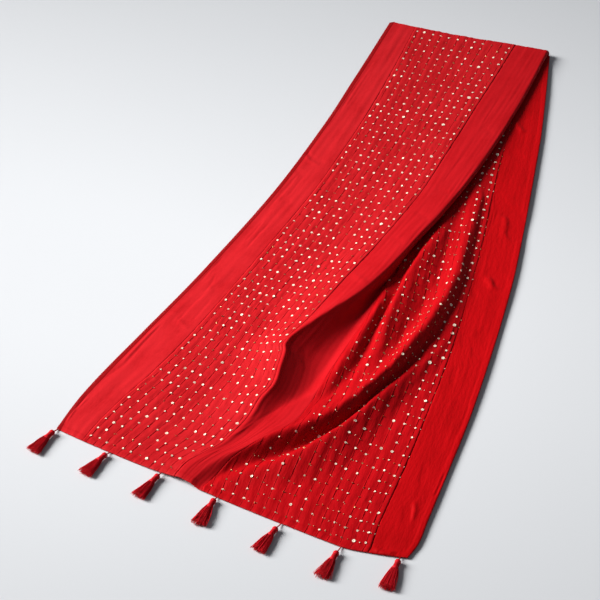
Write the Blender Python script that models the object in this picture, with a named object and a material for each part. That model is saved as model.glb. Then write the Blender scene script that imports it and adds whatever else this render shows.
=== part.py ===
"""A sequinned dupatta stole, folded once across its length and laid on a flat surface.

Five lengthwise strips are sewn side by side: a plain border, a pintucked panel, a plain
centre band, a second pintucked panel and a second plain border. Seven tassels hang from
the near hem. The centre band is lifted into a crest that turns over to the left, and the
second panel swirls out from under it in three soft folds. What lies beneath, the lower
half of the stole and the hidden turns of the pleat, is one low solid.

Lengths in the tables are millimetres. X runs across the stole, Y along it towards the
fold, and Z up, with the origin under the middle of the whole piece. Blender's own units
are metres.
"""

import math

import bmesh
import bpy
import numpy as np

MM = 0.001

# The cut: where each strip starts and ends across the cloth.
STRIPS = {
    "border_left": (0.0, 55.0),
    "panel_left": (55.0, 215.0),
    "band_centre": (215.0, 290.0),
    "panel_right": (290.0, 530.0),
    "border_right": (530.0, 590.0),
}
CLOTH_WIDTH = 590.0
# The middle of the whole piece in the tables' own coordinates. It becomes the origin.
MIDDLE = (2.91, -0.41)
WALL = 1.3
SEAM_GAP = 0.3
PINTUCK_HEIGHT = 0.8
HEM_WIDTH = 8.0
HEM_STEP = 1.5
HEM_EXTRA = 0.7
LEFT_PINTUCKS = 12
RIGHT_PINTUCKS = 15

# Along the stole: the fold is at the top of the range and the tasselled hem at its foot.
FOLD_END = 598.0
HEM_END = -530.0
FOLD_TILT = 0.088
TILT_POWER = 1.3
HEM_BOW_STARTS = -250.0
LOWEST_MIDDLE = 1.3

# The pleat is closed down to this row. Inside it the lower sheet starts a little under the foot.
PLEAT_OPENS = -60.0
TUCK_DEPTH = 6.2
TUCK_CLEAR = 1.7
TUCK_STARTS = 35.0
TUCK_RAMP = 30.0
NARROWEST_BORDER = 7.0
NARROWEST_PANEL = 5.0

# How the walls are meshed: how far apart the points are that a normal is measured from, the
# least distance between columns, and where sheets meet at a seam or in the pleat.
CLOTH_REACH = 0.6
ROW_REACH = 4.0
LEAST_COLUMN = 3.0
EDGE_COLUMN = 1.5
FOOT_CLEAR = 0.6
PINTUCK_RAMP = 10.0
SETBACK_POWER = 2.4
SHARP_ANGLE = 50.0
BORDER_MIDDLE = 32.0
ROW_COUNTS = ((586.0, 182.0, 8), (150.0, -500.0, 23))
WRAP_ANGLES = (150.0, 115.0, 80.0, 45.0)

# The near hem's own line: across, along.
HEM_LINE = (
    (-247, -523), (-160, -530), (-79, -533), (5, -539),
    (101, -543), (187, -545), (235, -535), (271, -525),
)

# Each line runs down the stole. Columns: along, across, height, cloth (mm across the cut).
LINES = {
    "left_edge": (
        (613, -277, 1.3, 0), (402, -254, 1.3, 0), (260, -240, 1.3, 0), (60, -230, 1.3, 0),
        (-139, -234, 1.3, 0), (-300, -244, 1.3, 0), (-450, -252, 1.3, 0), (-530, -247, 1.3, 0),
    ),
    "left_turn": (
        (613, -268, 3.8, 9), (402, -245, 3.8, 9), (260, -231, 3.8, 9), (60, -221, 3.8, 9),
        (-139, -225, 3.8, 9), (-300, -235, 3.8, 9), (-500, -243, 3.6, 9), (-530, -238, 1.3, 9),
    ),
    "left_seam": (
        (613, -232, 4.1, 55), (385, -199, 4.2, 55), (229, -183, 4.2, 55), (71, -175, 4.1, 55),
        (-66, -176, 4, 55), (-242, -179, 4, 55), (-368, -188, 3.9, 55), (-434, -198, 3.8, 55),
        (-500, -204, 3.7, 55), (-530, -205, 1.4, 55),
    ),
    "panel_middle": (
        (613, -146, 6, 135), (300, -112, 6, 135), (0, -102, 5.4, 135), (-190, -108, 5.2, 135),
        (-300, -105, 4.8, 135), (-430, -112, 4.2, 135), (-500, -125, 3.8, 135),
        (-530, -132, 1.4, 135),
    ),
    "band_seam": (
        (613, -56, 11, 215), (468, -45, 11, 215), (373, -39, 11, 215), (259, -31, 12, 215),
        (143, -24, 14, 215), (0, -28, 17, 215), (-93, -34, 20, 215), (-190, -38, 24, 215),
        (-248, -43.2, 28, 215), (-258, -43.2, 28, 215), (-270, -37.4, 27.4, 215),
        (-297, -30, 26, 215), (-338, -21, 23, 215), (-366, -24, 21, 215), (-399, -22, 18, 215),
        (-428, -25, 16, 215), (-458, -31, 14, 215), (-481, -42, 13, 215), (-512, -57, 10, 215),
        (-530, -60, 6, 215),
    ),
    "crest": (
        (613, -3, 13, 270), (439, 16, 14, 276), (319, 24, 15.5, 278), (215, 27, 17.5, 276),
        (112, 24, 20.5, 269), (51, 19, 22.5, 266), (-24, 14, 25, 260), (-110, 1, 28, 252),
        (-167, -17, 30, 238), (-226, -34.5, 31, 224), (-248, -39.5, 30.5, 220.5),
        (-258, -39.5, 30, 219.5), (-270, -33.5, 29.4, 219.5), (-297, -26, 28, 219.5),
        (-338, -17, 25, 220), (-366, -20, 22.5, 220), (-399, -18, 19.2, 220),
        (-428, -21, 17, 220), (-458, -28, 15, 220), (-481, -39.5, 14, 220),
        (-512, -54.5, 11.5, 220), (-530, -57.5, 7.5, 220),
    ),
    "nose": (
        (613, 0, 10, 275), (439, 19, 11, 281), (319, 27, 12, 283), (215, 30, 14, 281),
        (112, 27, 16.5, 274), (51, 22, 18.5, 271), (-24, 17, 21, 265), (-110, 4.5, 24, 257),
        (-167, -13, 26, 243), (-226, -30.5, 27, 229), (-248, -35.7, 26.5, 225.5),
        (-258, -35.8, 26, 224.5), (-270, -29.7, 25.4, 224.7), (-297, -22, 24, 225),
        (-338, -13, 21.5, 226), (-366, -15, 20, 227), (-399, -12, 17.5, 228),
        (-428, -15, 15.8, 228), (-458, -24, 14.6, 227), (-481, -36.5, 14.2, 227),
        (-512, -51, 11.8, 227), (-530, -54, 8.2, 227),
    ),
    "foot": (
        (613, -4, 8, 289.5), (439, 14, 8, 289.5), (319, 21, 8, 289.5), (215, 24, 8, 289.5),
        (112, 22, 8, 289.5), (51, 18, 8, 289.5), (-24, 15, 6.8, 289.5), (-60, 14, 4.6, 289.5),
        (-110, 14, 4.2, 281), (-167, 14, 4.2, 279), (-226, 16.5, 4.4, 281), (-258, 17.5, 4.6, 280),
        (-297, 17, 5.6, 271), (-322, 15, 8, 264), (-345, 8.5, 11, 253), (-366, 2, 13, 244),
        (-399, -2, 15.5, 240),
        (-428, -8, 15, 237), (-458, -19, 14.4, 234), (-481, -33, 14.2, 234),
        (-512, -47, 11.7, 234), (-530, -50, 8.3, 234),
    ),
    "tuck": (
        (613, -140, 3.8, 290), (409, -60, 3.8, 290), (200, -30, 3.8, 290), (0, 0, 3.8, 290),
        (-60, 14, 4.2, 290), (-530, 14, 4.2, 290),
    ),
    "ridge_first": (
        (200, -15, 3.8, 310), (0, 4, 3.9, 297), (-30, 11, 4.1, 296), (-60, 21.5, 9, 296),
        (-86, 30, 15, 296), (-145, 36, 18.5, 296), (-195, 40, 19.5, 296), (-235, 42, 19.5, 296),
        (-263, 42.5, 19, 296), (-300, 43.5, 18.5, 296),
    ),
    "valley_first": (
        (200, 10, 3.8, 344), (130, 20, 3.9, 331), (100, 22.5, 4, 325), (40, 24.5, 4.1, 316),
        (-24, 30, 5.5, 311), (-60, 37.5, 8, 311), (-120, 44.5, 9, 311), (-156, 48.5, 9, 311),
        (-199, 55.5, 9.5, 311), (-243, 59.5, 11, 311), (-270, 59.5, 13, 309),
        (-300, 56, 15.5, 308),
    ),
    "ridge_narrow": (
        (200, 23, 3.9, 373), (160, 29, 4.8, 356), (130, 33, 7, 345), (100, 36, 10.5, 337),
        (70, 37.5, 13.5, 332), (39, 38.5, 16, 329), (-24, 41, 18, 327), (-77, 47.5, 18.5, 327),
        (-117, 53.5, 18.5, 327), (-152, 60, 18, 327), (-184, 67, 17, 327), (-231, 73, 16.5, 327),
        (-263, 73, 17, 324), (-300, 67, 18.5, 320),
    ),
    "valley_second": (
        (200, 33, 4.6, 425), (130, 46, 6.5, 388), (100, 52, 7.5, 376), (70, 59, 7.5, 367),
        (39, 67, 7.5, 360), (-24, 79, 7.5, 353), (-77, 84, 7.5, 351), (-117, 86, 7.5, 350),
        (-152, 87, 8.5, 350), (-184, 88, 11, 348), (-231, 88, 16.5, 346), (-263, 86, 20, 341),
        (-300, 77, 22, 332),
    ),
    "ridge_wide": (
        (613, -100, 3.8, 474), (409, -34, 3.8, 474), (300, 8, 3.8, 474), (240, 36, 4.2, 472),
        (210, 50, 6.5, 470), (186, 59, 8.5, 466), (148, 68, 10.5, 458), (105, 79, 12, 449),
        (65, 88, 14, 440), (-4, 104, 17, 422), (-50, 109, 19.5, 411), (-113, 112, 22.5, 401),
        (-178, 109.5, 24.5, 391), (-211, 108.5, 25.5, 384), (-245, 103.5, 26, 375),
        (-280, 96, 26.5, 361), (-312, 87, 26.5, 345), (-344, 75, 26, 327), (-369, 63, 25.5, 312),
        (-391, 49, 25, 301), (-410, 34, 24, 295), (-432, 18, 22, 290), (-458, 1, 18, 283),
        (-481, -16, 14.5, 273), (-512, -32, 10, 262), (-530, -37, 7.2, 262),
    ),
    "trough": (
        (613, -90, 3.8, 487), (409, -20, 3.8, 487), (300, 17, 3.8, 487), (240, 45, 4.1, 485),
        (186, 67, 4.6, 485), (105, 90, 4.8, 477), (65, 100, 4.8, 472), (-4, 117.5, 5, 462),
        (-50, 126, 5.2, 456), (-113, 130.5, 5.6, 452), (-178, 124.5, 6.5, 441),
        (-211, 120.5, 7.5, 432), (-245, 114.5, 8, 424), (-280, 107, 7.5, 410),
        (-312, 101, 6.5, 395), (-344, 93, 5.6, 379), (-369, 83, 5, 366), (-391, 71.5, 5, 354),
        (-412, 59, 5, 344), (-432, 45, 5, 334), (-458, 25, 5.2, 320), (-481, 6, 4.8, 306),
        (-512, -12, 3.4, 291), (-530, -21, 1.8, 285),
    ),
    "ridge_sharp": (
        (613, -80, 3.8, 500), (409, -8, 3.8, 500), (300, 25, 3.8, 500), (240, 52, 4.1, 500),
        (186, 71, 4.4, 503), (105, 94.5, 4.6, 503), (-4, 123, 4.9, 496), (-50, 133, 5.5, 494),
        (-113, 143, 6.6, 497), (-148, 144.5, 7.6, 499), (-178, 140, 9.5, 494),
        (-211, 132, 12, 483), (-242, 125, 14.5, 470), (-273, 118, 17, 457),
        (-307, 110, 18.5, 445), (-338, 104, 19, 434), (-366, 95.5, 19, 421),
        (-388, 88, 18.5, 410), (-412, 78, 17, 396), (-432, 68, 15, 384), (-453, 55, 12.5, 371),
        (-479, 32, 9, 344), (-507, 6, 5, 313), (-530, -7, 2.4, 302),
    ),
    "ridge_foot": (
        (613, -70, 3.8, 515), (409, 5, 3.8, 515), (300, 34, 3.8, 515), (240, 58.5, 3.9, 515),
        (186, 75.2, 4, 518), (105, 98.3, 4.1, 517), (-4, 126.3, 4.1, 513), (-50, 137.3, 4.2, 513),
        (-113, 151, 4.5, 517), (-148, 156, 4.5, 518), (-197, 157, 4.5, 516),
        (-242, 154, 4.4, 508), (-285, 150, 4.3, 498), (-330, 147, 4.2, 488),
        (-372, 146, 4.1, 478), (-412, 139, 4, 462), (-445, 121, 4, 438), (-478, 90, 4, 402),
        (-507, 50, 3.5, 356), (-530, 15, 1.5, 325),
    ),
    "right_seam": (
        (613, -60, 3.8, 530), (510, -22, 3.9, 530), (409, 19, 4, 530), (293, 48, 4, 530),
        (184, 78, 4, 530), (104, 101, 4.1, 530), (-15, 131, 4.2, 530), (-123, 156, 4.3, 530),
        (-231, 176, 4.3, 530), (-311, 189, 4.2, 530), (-404, 203, 4.1, 530),
        (-500, 216, 3.9, 530), (-530, 222, 1.6, 530),
    ),
    "right_edge": (
        (613, 0, 4.3, 590), (510, 36, 4.5, 590), (384, 78, 4.4, 590), (263, 114, 4.6, 590),
        (148, 147, 4.4, 590), (38, 177, 4.4, 590), (-68, 201, 3.6, 590), (-171, 222, 4.2, 590),
        (-269, 240, 3.6, 590), (-365, 254, 3.4, 590), (-456, 267, 3.5, 590),
        (-500, 273, 3.2, 590), (-530, 270, 2.6, 590),
    ),
}
# Folds that start or end inside the cloth: outside their rows they fade into an even run
# between the foot of the crest and the wide ridge, at this share of the way.
PASSING = {"ridge_first": 0.2, "valley_first": 0.4, "ridge_narrow": 0.6, "valley_second": 0.8}
PASSING_FADE = 40.0
# Where the flat stretch between the last fold and the right seam is held to the hem's line.
FLAT_SHARES = (0.42, 0.83)
UPPER_LINES = ("left_edge", "left_turn", "left_seam", "panel_middle", "band_seam", "crest", "nose")
LOWER_LINES = ("ridge_wide", "trough", "ridge_sharp", "ridge_foot", "right_seam", "right_edge")

# The layers hidden beneath. Columns: along, left side, right side, pleat's inner fold, pleat's
# outer end, height of the pleat's stack.
HIDDEN_SECTIONS = (
    (575, -254, -10, -108, -22, 8.2),
    (540, -252, 14, -106, -10, 8.2),
    (450, -244, 46, -104, 1, 8.2),
    (350, -235, 79, -102, 9, 8.2),
    (250, -225, 107, -100, 13, 8.4),
    (150, -217, 134, -98, 13, 8.6),
    (60, -214, 153, -98, 9, 8.6),
    (-20, -214, 172, -98, 4, 7.6),
    (-60, -214, 181, -98, -2, 5),
    (-110, -215, 192, -98, -12, 3),
    (-200, -222, 209, -98, -30, 3),
    (-300, -229, 226, -98, -30, 3),
    (-400, -235, 240, -98, -30, 3),
    (-498, -236, 253, -98, -30, 3),
)
HIDDEN_BASE = 2.6
HIDDEN_RISE = 60.0
HIDDEN_DROP = 3.0
HIDDEN_ROUNDING = 1.6
HIDDEN_END_SHARE = 0.6
HIDDEN_BEVEL = (0.5, 0.3)
HIDDEN_RISE_SHARES = (0.33, 0.67, 1.0)
HIDDEN_EDGE = (0.8, 0.82)
LAYER_NOTCH = 1.0
LAYER_LIP = 0.25

# Tassels. Columns: across where each is sewn to the hem, heading in degrees from straight
# down the stole, length of its cord, whole length.
TASSELS = (
    (-246.0, -6.0, 7.0, 52.0),
    (-161.0, -9.0, 6.0, 51.0),
    (-80.0, -6.0, 5.5, 51.5),
    (5.0, 3.0, 5.5, 53.5),
    (101.0, -3.0, 10.5, 56.5),
    (187.0, 2.0, 11.0, 58.0),
    (262.0, 7.0, 6.5, 57.5),
)
TASSEL_SEAT = 0.3
CORD_RADIUS = 0.9
HEAD_RADIUS = 4.1
NECK_RADIUS = 3.3
SKIRT_ROOT = 4.3
SKIRT_WIDTH = 22.0
SKIRT_HEIGHT = 7.4
AXIS_HEIGHT = 4.6
HEAD_SIDES = 12
ROOT_SIDES = 6
CORD_SHARE = 0.8
# From the head's middle: distance down the tassel, radius. Head, wrapped neck, skirt's root.
HEAD_PROFILE = (
    (-3.3, 2.3), (-1.6, 3.7), (0.0, HEAD_RADIUS), (2.0, 3.8), (3.6, NECK_RADIUS), (7.9, 3.4),
    (11.2, SKIRT_ROOT),
)
# The rings under the skirt's root that the strands are cut from: how far down, and how wide.
ROOT_RING = (1.2, 0.55)
ROOT_CENTRE = 1.8
ROOT_TURN = 0.25
STRAND_GAP = 0.16
STRAND_UNEVEN = 1.6
GOLDEN_ANGLE = 2.39996
STRAND_STEPS = ((0.45, 1.0), (1.0, 0.8))
FAN_POWER = 0.8
DROP_POWER = 1.5
FLOOR_CLEAR = 0.7

COLOURS = {
    "border_left": (0.62, 0.012, 0.02),
    "panel_left": (0.56, 0.008, 0.016),
    "band_centre": (0.62, 0.012, 0.02),
    "panel_right": (0.56, 0.008, 0.016),
    "border_right": (0.6, 0.01, 0.018),
    "under_layers": (0.42, 0.006, 0.012),
    "tassel": (0.33, 0.006, 0.02),
}
CLOTH_ROUGHNESS = 0.62
TASSEL_ROUGHNESS = 0.7


def material(name, colour, roughness):
    made = bpy.data.materials.new(name)
    made.use_nodes = True
    shader = made.node_tree.nodes["Principled BSDF"]
    shader.inputs["Base Color"].default_value = (*colour, 1.0)
    shader.inputs["Roughness"].default_value = roughness
    shader.inputs["Metallic"].default_value = 0.0
    return made


def smooth_step(value):
    held = np.clip(value, 0.0, 1.0)
    return held * held * (3.0 - 2.0 * held)


def through(knots, values, wanted):
    """A curve through the values that never swings past them: a monotone cubic."""
    knots = np.asarray(knots, float)
    values = np.asarray(values, float)
    wanted = np.clip(wanted, knots[0], knots[-1])
    steps = np.diff(knots)
    slopes = np.diff(values) / steps
    tangents = np.empty(len(knots))
    tangents[0] = slopes[0]
    tangents[-1] = slopes[-1]
    for i in range(1, len(knots) - 1):
        before, after = slopes[i - 1], slopes[i]
        if before * after <= 0.0:
            tangents[i] = 0.0
            continue
        near = 2.0 * steps[i] + steps[i - 1]
        far = steps[i] + 2.0 * steps[i - 1]
        tangents[i] = (near + far) / (near / before + far / after)
    cell = np.clip(np.searchsorted(knots, wanted) - 1, 0, len(steps) - 1)
    share = (wanted - knots[cell]) / steps[cell]
    keep = 1.0 - share
    return (
        values[cell] * (1.0 + 2.0 * share) * keep**2
        + steps[cell] * tangents[cell] * share * keep**2
        + values[cell + 1] * (3.0 - 2.0 * share) * share**2
        - steps[cell] * tangents[cell + 1] * keep * share**2
    )


def read_line(name, column, along):
    rows = np.array(LINES[name], float)[::-1]
    return float(through(rows[:, 0], rows[:, column], along))


def tilt_at(row):
    return FOLD_TILT * max((row - HEM_END) / (FOLD_END - HEM_END), 0.0) ** TILT_POWER


def row_along(across, row):
    """Where a row across the stole lies along it: rows tilt at the fold, and bow at the hem."""
    hem = np.array(HEM_LINE, float)
    bow = float(through(hem[:, 0], hem[:, 1], across)) - HEM_END
    share = (HEM_BOW_STARTS - row) / (HEM_BOW_STARTS - HEM_END)
    return row + tilt_at(row) * across + bow * float(smooth_step(share))


def line_point(name, row):
    """(across, along, height, cloth) where a line crosses a row."""
    across = read_line(name, 1, row)
    for _ in range(3):
        along = row_along(across, row)
        across = read_line(name, 1, along)
    return np.array([across, along, read_line(name, 2, row), read_line(name, 3, row)])


def passing_point(name, row, left, right):
    rows = np.array(LINES[name], float)
    outside = max(row - rows[0, 0], rows[-1, 0] - row, 0.0)
    between = left + (right - left) * PASSING[name]
    if outside >= PASSING_FADE:
        return between
    shown = 1.0 - float(smooth_step(outside / PASSING_FADE))
    return between + (line_point(name, row) - between) * shown


def flat_points(row, left, right):
    found = []
    for share in FLAT_SHARES:
        point = left + (right - left) * share
        point[1] = row_along(point[0], row)
        found.append(point)
    return found


def section(row, lower):
    """The points that one row of the cloth passes through, from left to right. Where the pleat
    is closed, the upper sheet ends at its foot and the lower one starts inside the tuck."""
    closed = row >= PLEAT_OPENS
    start = line_point("tuck" if closed and lower else "foot", row)
    ridge = line_point("ridge_wide", row)
    points = [start] + [passing_point(name, row, start, ridge) for name in PASSING]
    folds = [line_point(name, row) for name in LOWER_LINES]
    points += folds[:-2] + flat_points(row, folds[-3], folds[-2]) + folds[-2:]
    if closed and lower:
        return np.array(points)
    upper = [line_point(name, row) for name in UPPER_LINES]
    return np.array(upper + ([start] if closed else points))


def middle_points(row, cloth, lower):
    """Points on the middle of the cloth's thickness, for positions across the cut."""
    knots = section(row, lower)
    return np.stack([through(knots[:, 3], knots[:, i], cloth) for i in range(3)], axis=1)


def unit(vectors):
    return vectors / np.linalg.norm(vectors, axis=-1, keepdims=True)


def middle_and_normal(row, cloth, lower):
    points = middle_points(row, cloth, lower)
    right = middle_points(row, cloth + CLOTH_REACH, lower)
    left = middle_points(row, cloth - CLOTH_REACH, lower)
    above = middle_points(min(row + ROW_REACH, FOLD_END), cloth, lower)
    below = middle_points(max(row - ROW_REACH, HEM_END), cloth, lower)
    return points, unit(np.cross(right - left, above - below))


def wrapped(row_points, row_normals, angle):
    """The fold's rounded end: the row carried round a half circle, down to the surface."""
    turn = math.radians(angle)
    radius = (row_points[:, 2] - LOWEST_MIDDLE) / 2.0
    points = row_points.copy()
    points[:, 1] += radius * math.sin(turn)
    points[:, 2] += radius * (math.cos(turn) - 1.0)
    normals = row_normals * np.array([1.0, 0.0, 0.0])
    normals[:, 1] = math.sin(turn)
    normals[:, 2] = math.cos(turn)
    return points, unit(normals)


def row_list():
    rows = [FOLD_END]
    for start, end, count in ROW_COUNTS:
        rows += list(np.linspace(start, end, count))
    hem_turn = HEM_END + HEM_WIDTH
    return rows + [hem_turn + HEM_STEP, hem_turn, HEM_END]


def tuck_edge(row):
    """How far across the cut the lower sheet comes out of the pleat."""
    if row < PLEAT_OPENS:
        return STRIPS["panel_right"][0]
    foot = line_point("foot", row)
    depth = float(smooth_step((row - PLEAT_OPENS - TUCK_STARTS) / TUCK_RAMP))
    inside = TUCK_DEPTH * depth - TUCK_CLEAR
    cloth = np.arange(STRIPS["panel_right"][0], CLOTH_WIDTH, 0.5)
    across = middle_points(row, cloth, True)[:, 0]
    return float(cloth[np.argmax(across >= foot[0] - inside)])


def pintuck_columns(strip, count):
    """Columns at each row of stitching and at the top of each tuck between two rows."""
    start, end = STRIPS[strip]
    spacing = (end - start) / count
    return np.arange(start, end + spacing / 4.0, spacing / 2.0), start, spacing


def pintuck_height(cloth, start, spacing):
    wave = 0.5 - 0.5 * np.cos(2.0 * math.pi * (cloth - start) / spacing - math.pi)
    return PINTUCK_HEIGHT * wave


def hem_height(row):
    return HEM_EXTRA if row < HEM_END + HEM_WIDTH + HEM_STEP / 2.0 else 0.0


def zipped(first, first_at, second, second_at):
    """Triangles between two chains of points, in step with their positions across the cut."""
    faces = []
    i = j = 0
    while i < len(first) - 1 or j < len(second) - 1:
        step_first = j == len(second) - 1 or (
            i < len(first) - 1 and first_at[i + 1] <= second_at[j + 1]
        )
        if step_first:
            faces.append((first[i], first[i + 1], second[j]))
            i += 1
        else:
            faces.append((first[i], second[j + 1], second[j]))
            j += 1
    return faces


def wall_object(name, outer_rows, inner_rows, finish):
    """One closed wall. Each row is (points, positions across the cut)."""
    mesh = bmesh.new()
    outer = [[mesh.verts.new(point * MM) for point in points] for points, _ in outer_rows]
    inner = [[mesh.verts.new(point * MM) for point in points] for points, _ in inner_rows]
    faces = []
    for chains, rows in ((outer, outer_rows), (inner, inner_rows)):
        for j in range(len(rows) - 1):
            faces += zipped(chains[j], rows[j][1], chains[j + 1], rows[j + 1][1])
    for j in (0, -1):
        faces += zipped(outer[j], outer_rows[j][1], inner[j], inner_rows[j][1])
    for j in range(len(outer) - 1):
        for side in (0, -1):
            faces.append((outer[j][side], outer[j + 1][side], inner[j + 1][side]))
            faces.append((outer[j][side], inner[j + 1][side], inner[j][side]))
    for face in faces:
        mesh.faces.new(face)
    bmesh.ops.recalc_face_normals(mesh, faces=mesh.faces)
    return finished(name, mesh, finish)


def finished(name, mesh, finish):
    data = bpy.data.meshes.new(name)
    mesh.to_mesh(data)
    mesh.free()
    data.shade_smooth()
    data.set_sharp_from_angle(angle=math.radians(SHARP_ANGLE))
    data.materials.append(finish)
    made = bpy.data.objects.new(name, data)
    made.location = (-MIDDLE[0] * MM, -MIDDLE[1] * MM, 0.0)
    bpy.context.scene.collection.objects.link(made)
    return made


def wall_rows(rows, columns_of, lower, relief_of, wraps, every):
    """Outer and inner points of a strip, row by row, with the fold's end in front. The plain
    inside keeps one column in so many."""
    outer, inner = [], []
    for row in rows:
        cloth = columns_of(row)
        if cloth is None:
            continue
        points, normals = middle_and_normal(row, cloth, lower(row))
        relief = relief_of(row, cloth)[:, None]
        stretches = [(points, normals)]
        if wraps and row == rows[0]:
            stretches = [wrapped(points, normals, angle) for angle in WRAP_ANGLES] + stretches
        for middle, facing in stretches:
            outer.append((middle + facing * (WALL / 2.0 + relief), cloth))
            inside = middle - facing * (WALL / 2.0)
            inner.append((inside[::every], cloth[::every]))
    return outer, inner


def upper_sheet(row):
    return False


def lower_sheet(row):
    return row >= PLEAT_OPENS


def make_strip(name, rows, columns_of, lower, relief_of, finish, wraps=True, every=1):
    outer, inner = wall_rows(rows, columns_of, lower, relief_of, wraps, every)
    return wall_object(name, outer, inner, finish)


def seam_setback(row, cloth, lower):
    """How much of the cut each side leaves free at a seam for the gap to stay the same."""
    if cloth in (0.0, CLOTH_WIDTH):
        return 0.0
    if row >= PLEAT_OPENS and cloth == STRIPS["panel_right"][0]:
        return SEAM_GAP / 2.0
    ends = middle_points(row, np.array([cloth - 1.0, cloth + 1.0]), lower)
    stretch = float(np.linalg.norm(ends[1] - ends[0])) / 2.0
    return SEAM_GAP / 2.0 / min(stretch, 1.0) ** SETBACK_POWER


def inside_seams(strip, row):
    start, end = STRIPS[strip]
    lower = row >= PLEAT_OPENS and start >= STRIPS["panel_right"][0]
    return start + seam_setback(row, start, lower), end - seam_setback(row, end, lower)


def left_border(rows, finish):
    def columns(row):
        start, end = inside_seams("border_left", row)
        return np.array([start, HEM_WIDTH, HEM_WIDTH + HEM_STEP, BORDER_MIDDLE, end])

    def relief(row, cloth):
        side_hem = np.where(cloth <= HEM_WIDTH, HEM_EXTRA, 0.0)
        return np.maximum(side_hem, hem_height(row))

    make_strip("border_left", rows, columns, upper_sheet, relief, finish)


def left_panel(rows, finish):
    marks, first, spacing = pintuck_columns("panel_left", LEFT_PINTUCKS)

    def columns(row):
        start, end = inside_seams("panel_left", row)
        return np.concatenate([[start], marks[1:-1], [end]])

    def relief(row, cloth):
        return pintuck_height(cloth, first, spacing) + hem_height(row)

    make_strip("panel_left", rows, columns, upper_sheet, relief, finish, every=2)


def centre_band(rows, finish):
    def columns(row):
        start, end = inside_seams("band_centre", row)
        crest = line_point("crest", row)[3]
        nose = line_point("nose", row)[3]
        foot = min(line_point("foot", row)[3], end - FOOT_CLEAR)
        return np.concatenate([
            np.linspace(start, crest, 4),
            [(crest + nose) / 2.0, nose],
            np.linspace(nose, foot, 4)[1:],
            np.linspace(foot, end, 4)[1:],
        ])

    def relief(row, cloth):
        return np.full(len(cloth), hem_height(row))

    make_strip("band_centre", rows, columns, upper_sheet, relief, finish)


def right_panel(rows, finish):
    marks, first, spacing = pintuck_columns("panel_right", RIGHT_PINTUCKS)

    def columns(row):
        start, end = inside_seams("panel_right", row)
        edge = max(tuck_edge(row), start)
        if edge > end - NARROWEST_PANEL:
            return None
        kept = marks[(marks > edge + LEAST_COLUMN) & (marks < end - LEAST_COLUMN)]
        return np.concatenate([[edge], kept, [end]])

    def relief(row, cloth):
        ramp = smooth_step((cloth - cloth[0]) / PINTUCK_RAMP) if row >= PLEAT_OPENS else 1.0
        return pintuck_height(cloth, first, spacing) * ramp + hem_height(row)

    make_strip("panel_right", rows, columns, lower_sheet, relief, finish, wraps=False)


def right_border(rows, finish):
    def columns(row):
        start, end = inside_seams("border_right", row)
        edge = max(tuck_edge(row), start)
        if edge > end - NARROWEST_BORDER:
            return None
        turn = max(end - HEM_WIDTH, edge + LEAST_COLUMN)
        flat_end = max(turn - HEM_STEP, edge + EDGE_COLUMN)
        return np.concatenate([np.linspace(edge, flat_end, 4), [turn, end]])

    def relief(row, cloth):
        side_hem = np.where(cloth >= CLOTH_WIDTH - HEM_WIDTH, HEM_EXTRA, 0.0)
        return np.maximum(side_hem, hem_height(row))

    make_strip("border_right", rows, columns, lower_sheet, relief, finish, wraps=False)


def hidden_outline(left, right, inner, outer, stack):
    """One section of the hidden layers: flat below, notched at the sides between layers, and
    raised where the turns of the pleat lie on each other."""
    layer = HIDDEN_BASE / 2.0
    bevel, bevel_height = HIDDEN_BEVEL
    side = [
        (bevel, 0.0), (0.0, bevel_height), (0.0, layer - LAYER_LIP), (LAYER_NOTCH, layer),
        (0.0, layer + LAYER_LIP), (0.0, HIDDEN_BASE - bevel_height), (bevel, HIDDEN_BASE),
    ]
    rise = stack - HIDDEN_BASE
    edge, edge_share = HIDDEN_EDGE
    top = [(inner, 0.0)]
    for share in HIDDEN_RISE_SHARES:
        top.append((inner + HIDDEN_RISE * share, float(smooth_step(share))))
    top += [(outer - HIDDEN_DROP, 1.0), (outer - edge, edge_share), (outer, 0.0)]
    points = [(left + inset, height) for inset, height in side]
    points += [(across, HIDDEN_BASE + rise * share) for across, share in top]
    points += [(right - inset, height) for inset, height in reversed(side)]
    return points


def hidden_section(mesh, outline, place, share):
    tilt = tilt_at(place)
    return [
        mesh.verts.new((across * MM, (place + tilt * across) * MM, height * share * MM))
        for across, height in outline
    ]


def hidden_layers(finish):
    knots = np.array(HIDDEN_SECTIONS, float)[::-1]
    along = list(knots[:, 0])
    mesh = bmesh.new()
    chains = []
    for place in along:
        values = [float(through(knots[:, 0], knots[:, i], place)) for i in range(1, 6)]
        outline = hidden_outline(*values)
        if place in (along[0], along[-1]):
            beyond = math.copysign(HIDDEN_ROUNDING, place)
            chains.append(hidden_section(mesh, outline, place + beyond, HIDDEN_END_SHARE))
        chains.append(hidden_section(mesh, outline, place, 1.0))
    chains[-1], chains[-2] = chains[-2], chains[-1]
    for first, second in zip(chains, chains[1:]):
        count = len(first)
        for i in range(count):
            following = (i + 1) % count
            mesh.faces.new((first[i], first[following], second[following], second[i]))
    mesh.faces.new(chains[0])
    mesh.faces.new(chains[-1])
    bmesh.ops.triangulate(mesh, faces=mesh.faces)
    bmesh.ops.recalc_face_normals(mesh, faces=mesh.faces)
    return finished("under_layers", mesh, finish)


def tassel_rings(cord):
    """Down the tassel's axis: (distance, radius) of its turned part, cord to skirt root."""
    head = cord + HEAD_RADIUS
    turned = [(head + distance, radius) for distance, radius in HEAD_PROFILE]
    return [(0.0, CORD_RADIUS), (cord * CORD_SHARE, CORD_RADIUS)] + turned


def ring_points(distance, radius, count, turn=0.0):
    return [
        (radius * math.cos(2.0 * math.pi * (i + turn) / count), -distance,
         radius * math.sin(2.0 * math.pi * (i + turn) / count))
        for i in range(count)
    ]


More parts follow.
